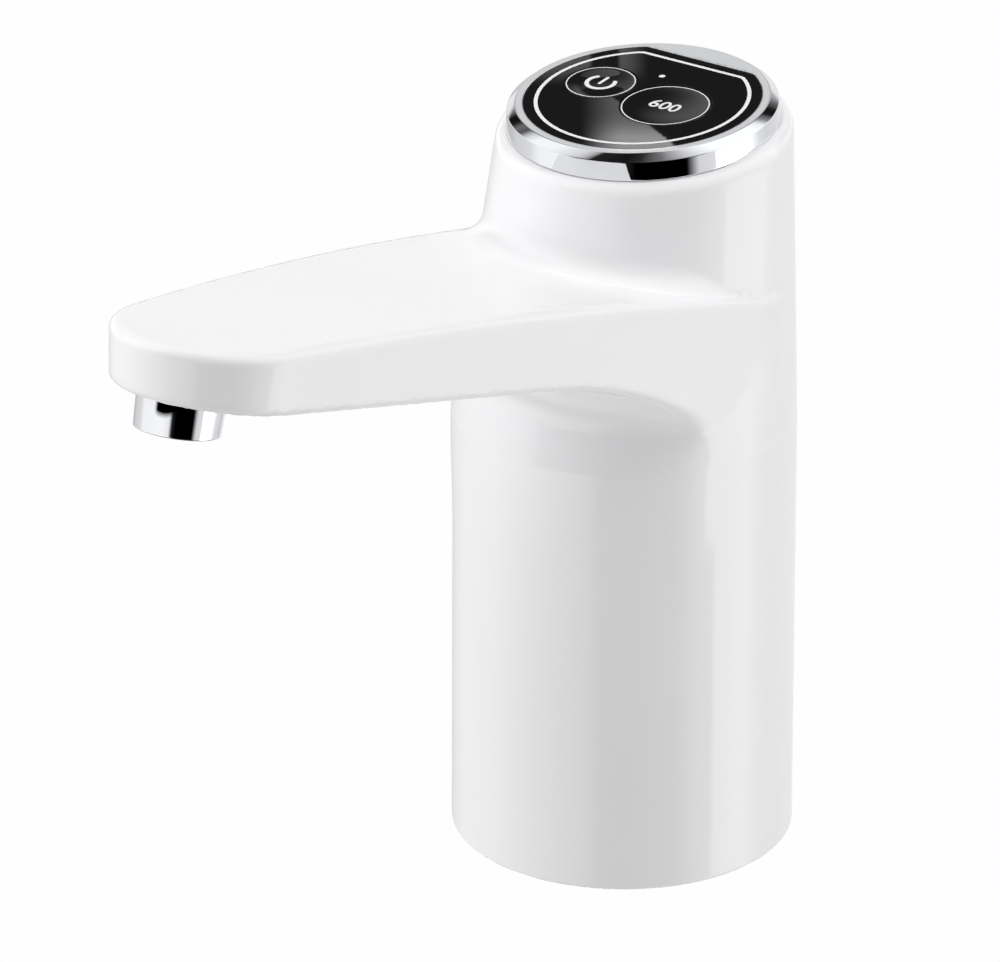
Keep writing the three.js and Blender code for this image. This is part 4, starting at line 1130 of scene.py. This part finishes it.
# %% Room
world = bpy.data.worlds.new("studio")
bpy.context.scene.world = world
world.use_nodes = True
tree = world.node_tree
tree.nodes.clear()
direction = node(tree, "ShaderNodeTexCoord").outputs["Generated"]
settings = {"rotation_type": "Z_AXIS"}
facing = node(tree, "ShaderNodeVectorRotate", {"Vector": direction, "Angle": BEARING}, **settings)
parts = node(tree, "ShaderNodeSeparateXYZ", {"Vector": facing.outputs[0]})
settings = {"operation": "ARCTAN2"}
bearing = node(tree, "ShaderNodeMath", {0: parts.outputs["Y"], 1: parts.outputs["X"]}, **settings)
turn_share = node(tree, "ShaderNodeMapRange", {
    "Value": bearing.outputs[0], "From Min": -math.pi, "From Max": math.pi,
})
BRIGHTEST = 2.8


def light_strip(stops):
    """A strip round the room from pairs of bearing from the camera and brightness."""
    strip = node(tree, "ShaderNodeValToRGB", {"Fac": turn_share.outputs["Result"]})
    band = strip.color_ramp
    while len(band.elements) > 1:
        band.elements.remove(band.elements[-1])
    for i, (angle, level) in enumerate(stops):
        place = (angle + 180) / 360
        stop = band.elements[0] if i == 0 else band.elements.new(place)
        stop.position = place
        stop.color = [level / BRIGHTEST] * 3 + [1]
    return strip.outputs["Color"]


horizon = light_strip([
    (-180, 0.6), (-160, 0.6), (-147, 0.62), (-136, 0.75), (-112, 0.85), (-99, 1.1), (-40, 1.15),
    (-24, 1.0), (-17, 0.02), (-8, 0.0), (36, 0.0), (40, 0.25), (46, 0.8), (61, 0.9), (62.5, 2.6),
    (88, 2.4), (99, 1.3), (110, 0.9), (122, 0.8), (157, 0.85), (168, 0.9), (180, 0.6),
])
ground = light_strip([(-180, 0.12), (180, 0.12)])
eye_level = light_strip([
    (-180, 0.9), (-66, 1.1), (-58, 0.0), (48, 0.0), (54, 1.1), (180, 0.9),
])
upper_sky = light_strip([
    (-180, 0.78), (-166, 0.75), (-155, 0.55), (-150, 0.3), (-144, 0.01), (-137, 0.01),
    (-132, 0.18), (-126, 0.1), (-120, 0.8), (-113, 1.15), (-97, 1.15), (-89, 1.0), (-76, 0.8),
    (-68, 0.5), (-62, 0.02), (-30, 0.01), (-12, 0.03), (14, 0.2), (39, 0.6), (60, 1.0),
    (75, 1.25), (115, 1.25), (122, 1.1), (128, 0.3), (134, 0.01), (140, 0.01), (146, 0.15),
    (151, 0.45), (158, 0.68), (166, 0.75), (180, 0.78),
])
strips = ground
rises = ((horizon, -0.85, -0.62), (eye_level, -0.12, -0.08), (upper_sky, 0.11, 0.19))
for strip, start, end in rises:
    share = node(tree, "ShaderNodeMapRange", {
        "Value": parts.outputs["Z"], "From Min": start, "From Max": end,
    })
    both = node(tree, "ShaderNodeMix", {"Factor": share.outputs["Result"]}, data_type="RGBA")
    tree.links.new(strips, both.inputs["A"])
    tree.links.new(strip, both.inputs["B"])
    strips = both.outputs["Result"]
mirrored = node(tree, "ShaderNodeBackground", {"Color": strips, "Strength": BRIGHTEST})
seen = node(tree, "ShaderNodeBackground", {"Color": linear("fefefe"), "Strength": 1.0})
lit = node(tree, "ShaderNodeBackground", {"Color": linear("ffffff"), "Strength": 0.23})
path = node(tree, "ShaderNodeLightPath")
whole = lit
for ray, other in (("Is Camera Ray", seen), ("Is Glossy Ray", mirrored)):
    halves = {0: path.outputs[ray], 1: whole.outputs[0], 2: other.outputs[0]}
    whole = node(tree, "ShaderNodeMixShader", halves)
node(tree, "ShaderNodeOutputWorld", {"Surface": whole.outputs[0]})
print("room drawn")

# %% [markdown]
# ## A black card for the touch panel
# The panel and the ring's flat top mirror the same far corner of the room, yet one is nearly
# black and the other light. A photographer gets that with a black card close behind the
# object, cut so that only the panel sees it. Here the card is the panel's outline seen from
# the camera's mirror image. Its face carries painted reflections. It glows in a wedge with one
# sharp edge, which makes the grey wedge on the panel, and in two faint bands. Inside each
# button's circle it glows more on one side, a painted sheen on the button. It stays light
# where the ring looks, a painted reflection on the ring's flat top.

# %% Card
normal = on_panel([0, 0, 1]) - on_panel([0, 0, 0])
normal /= np.linalg.norm(normal)
eye = np.array(camera.location)
ghost = eye - 2 * np.dot(eye - on_panel([0, 0, 0]), normal) * normal
CARD_SPREAD = 1.27
CARD_REACH = 60.0
SPOKES = 240
WEDGE_TIP = (-5, -3.3)
WEDGE_SLOPE = 0.508
AT_RING = 29.5
CARD_BLACK = 0.07
RING_GLOW = 0.7
fine = np.linspace(24.5, 28, 15)
steps = np.concatenate([np.linspace(0.5, 24, 48), fine, np.linspace(29, CARD_REACH, 26)])
spokes = np.arange(SPOKES) * 2 * math.pi / SPOKES
reach, angle = np.meshgrid(steps, spokes, indexing="ij")
card_x, card_y = (reach * np.cos(angle)).ravel(), (reach * np.sin(angle)).ravel()
on_plane = on_panel(np.stack([card_x, card_y, np.zeros(len(card_x))], -1))
card_points = ghost + (on_plane - ghost) * CARD_SPREAD
card_faces = [tuple(range(SPOKES))[::-1]]
for k in range(0, (len(steps) - 1) * SPOKES, SPOKES):
    for i in range(SPOKES):
        beside = k + (i + 1) % SPOKES
        card_faces.append((k + i, beside, beside + SPOKES, k + SPOKES + i))
# Painted reflection: the glow is drawn in the panel's own frame as a lit wedge with a sharp edge and
# two bands, which the panel mirrors.
across = 0.805 * card_x + 0.591 * card_y
down = 0.242 * card_x - 0.409 * card_y
edge = card_y - WEDGE_TIP[1] + WEDGE_SLOPE * (card_x - WEDGE_TIP[0])
nearness = np.clip((down - 3) / 6, 0, 1)
painted_panel_reflection = (0.75 + 1.55 * nearness ** 2) * smooth(across, -13.5, -4) * smooth(-edge, -0.1, 0.1)
far_band = smooth(-across, 10.3, 10.9)
near_band = smooth(across, -4.9, -4.3) * smooth(-across, -2, 4)
painted_reflection_bands = 0.55 * smooth(-down, 2.5, 8) * (far_band + near_band)
from_middle = np.hypot(card_x, card_y)
opening_there = np.interp(angle.ravel(), np.arange(TURNS) * 2 * math.pi / TURNS, opening)
inside = from_middle < opening_there
# Painted sheen: inside each button's circle the card glows more towards one side, so the button
# mirrors a run from light to dark.
for name, level in (("power", 0.5), ("dose", 0.75)):
    x, y, radius = BUTTONS[name]
    local_x, local_y = (card_x - x) / radius, (card_y - y) / radius
    painted_button_sheen = level * smooth(0.5 * local_x + 0.75 * local_y, -0.35, 0.85)
    painted_panel_reflection = np.where(np.hypot(local_x, local_y) < 1, painted_button_sheen, painted_panel_reflection)
# Painted reflection: the card stays light where the ring's flat top looks.
at_ring = (~inside) & (from_middle < AT_RING)
glow = CARD_BLACK + np.where(at_ring, RING_GLOW, painted_panel_reflection + np.where(inside, painted_reflection_bands, 0))
card_material, tree = surface("black_card_with_painted_reflections")
level = node(tree, "ShaderNodeAttribute", attribute_name="glow").outputs["Fac"]
shine = node(tree, "ShaderNodeEmission", {"Strength": level})
node(tree, "ShaderNodeOutputMaterial", {"Surface": shine.outputs[0]})
card = mesh_piece("black_card", card_points, card_faces, card_material)
shade = card.data.attributes.new("glow", "FLOAT", "POINT")
shade.data.foreach_set("value", glow.astype(np.float32))
card.visible_camera = card.visible_diffuse = card.visible_shadow = False
card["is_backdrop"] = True
print("card", round(float(np.ptp(card_points[:, 0])), 3), "m wide at", card_points.mean(0).round(3))

# %% [markdown]
# ## Softboxes
# The matt part of the white plastic gets its light from three soft lights: a big one from
# above, which makes the arm's top nearly white, and one at each side of the camera, so the
# column is a little darker in its middle. They are left out of reflections, which the room
# already gives.

# %% Softboxes
LIGHT_AIM_HEIGHT = 0.09


def soft_light(name, bearing, height, distance, size, watts):
    """A square area light aimed at the column, seen by matt surfaces only."""
    data = bpy.data.lights.new(name, "AREA")
    data.size = size
    data.energy = watts
    made = bpy.data.objects.new(name, data)
    a, e = math.radians(bearing), math.radians(height)
    aim = Vector((0, AXIS_Y * 0.001, LIGHT_AIM_HEIGHT))
    back = Vector((math.sin(a) * math.cos(e), -math.cos(a) * math.cos(e), math.sin(e)))
    made.location = aim + back * distance
    made.rotation_mode = "QUATERNION"
    made.rotation_quaternion = (-back).to_track_quat("-Z", "Y")
    made.visible_glossy = False
    made.visible_camera = False
    bpy.context.scene.collection.objects.link(made)
    return made


soft_light("left_softbox", -50, 10, 1.2, 0.9, 8.9)
soft_light("right_softbox", 112, 10, 1.2, 0.8, 5.4)
soft_light("top_softbox", 36, 86, 1.1, 1.0, 8.9)
bpy.context.scene.view_settings.view_transform = "Standard"
bpy.context.scene.view_settings.look = "None"
print("stage ready")

# %% [markdown]
# ## The size of the dressed model
# Both the CAD model's box and the dressed model's box are printed.

# %% Print both boxes
dressed = [list(corner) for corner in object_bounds()]
for title, box in (("CAD", cad_box), ("dressed", dressed)):
    print(title, "box in metres:", np.round(box, 5).tolist())
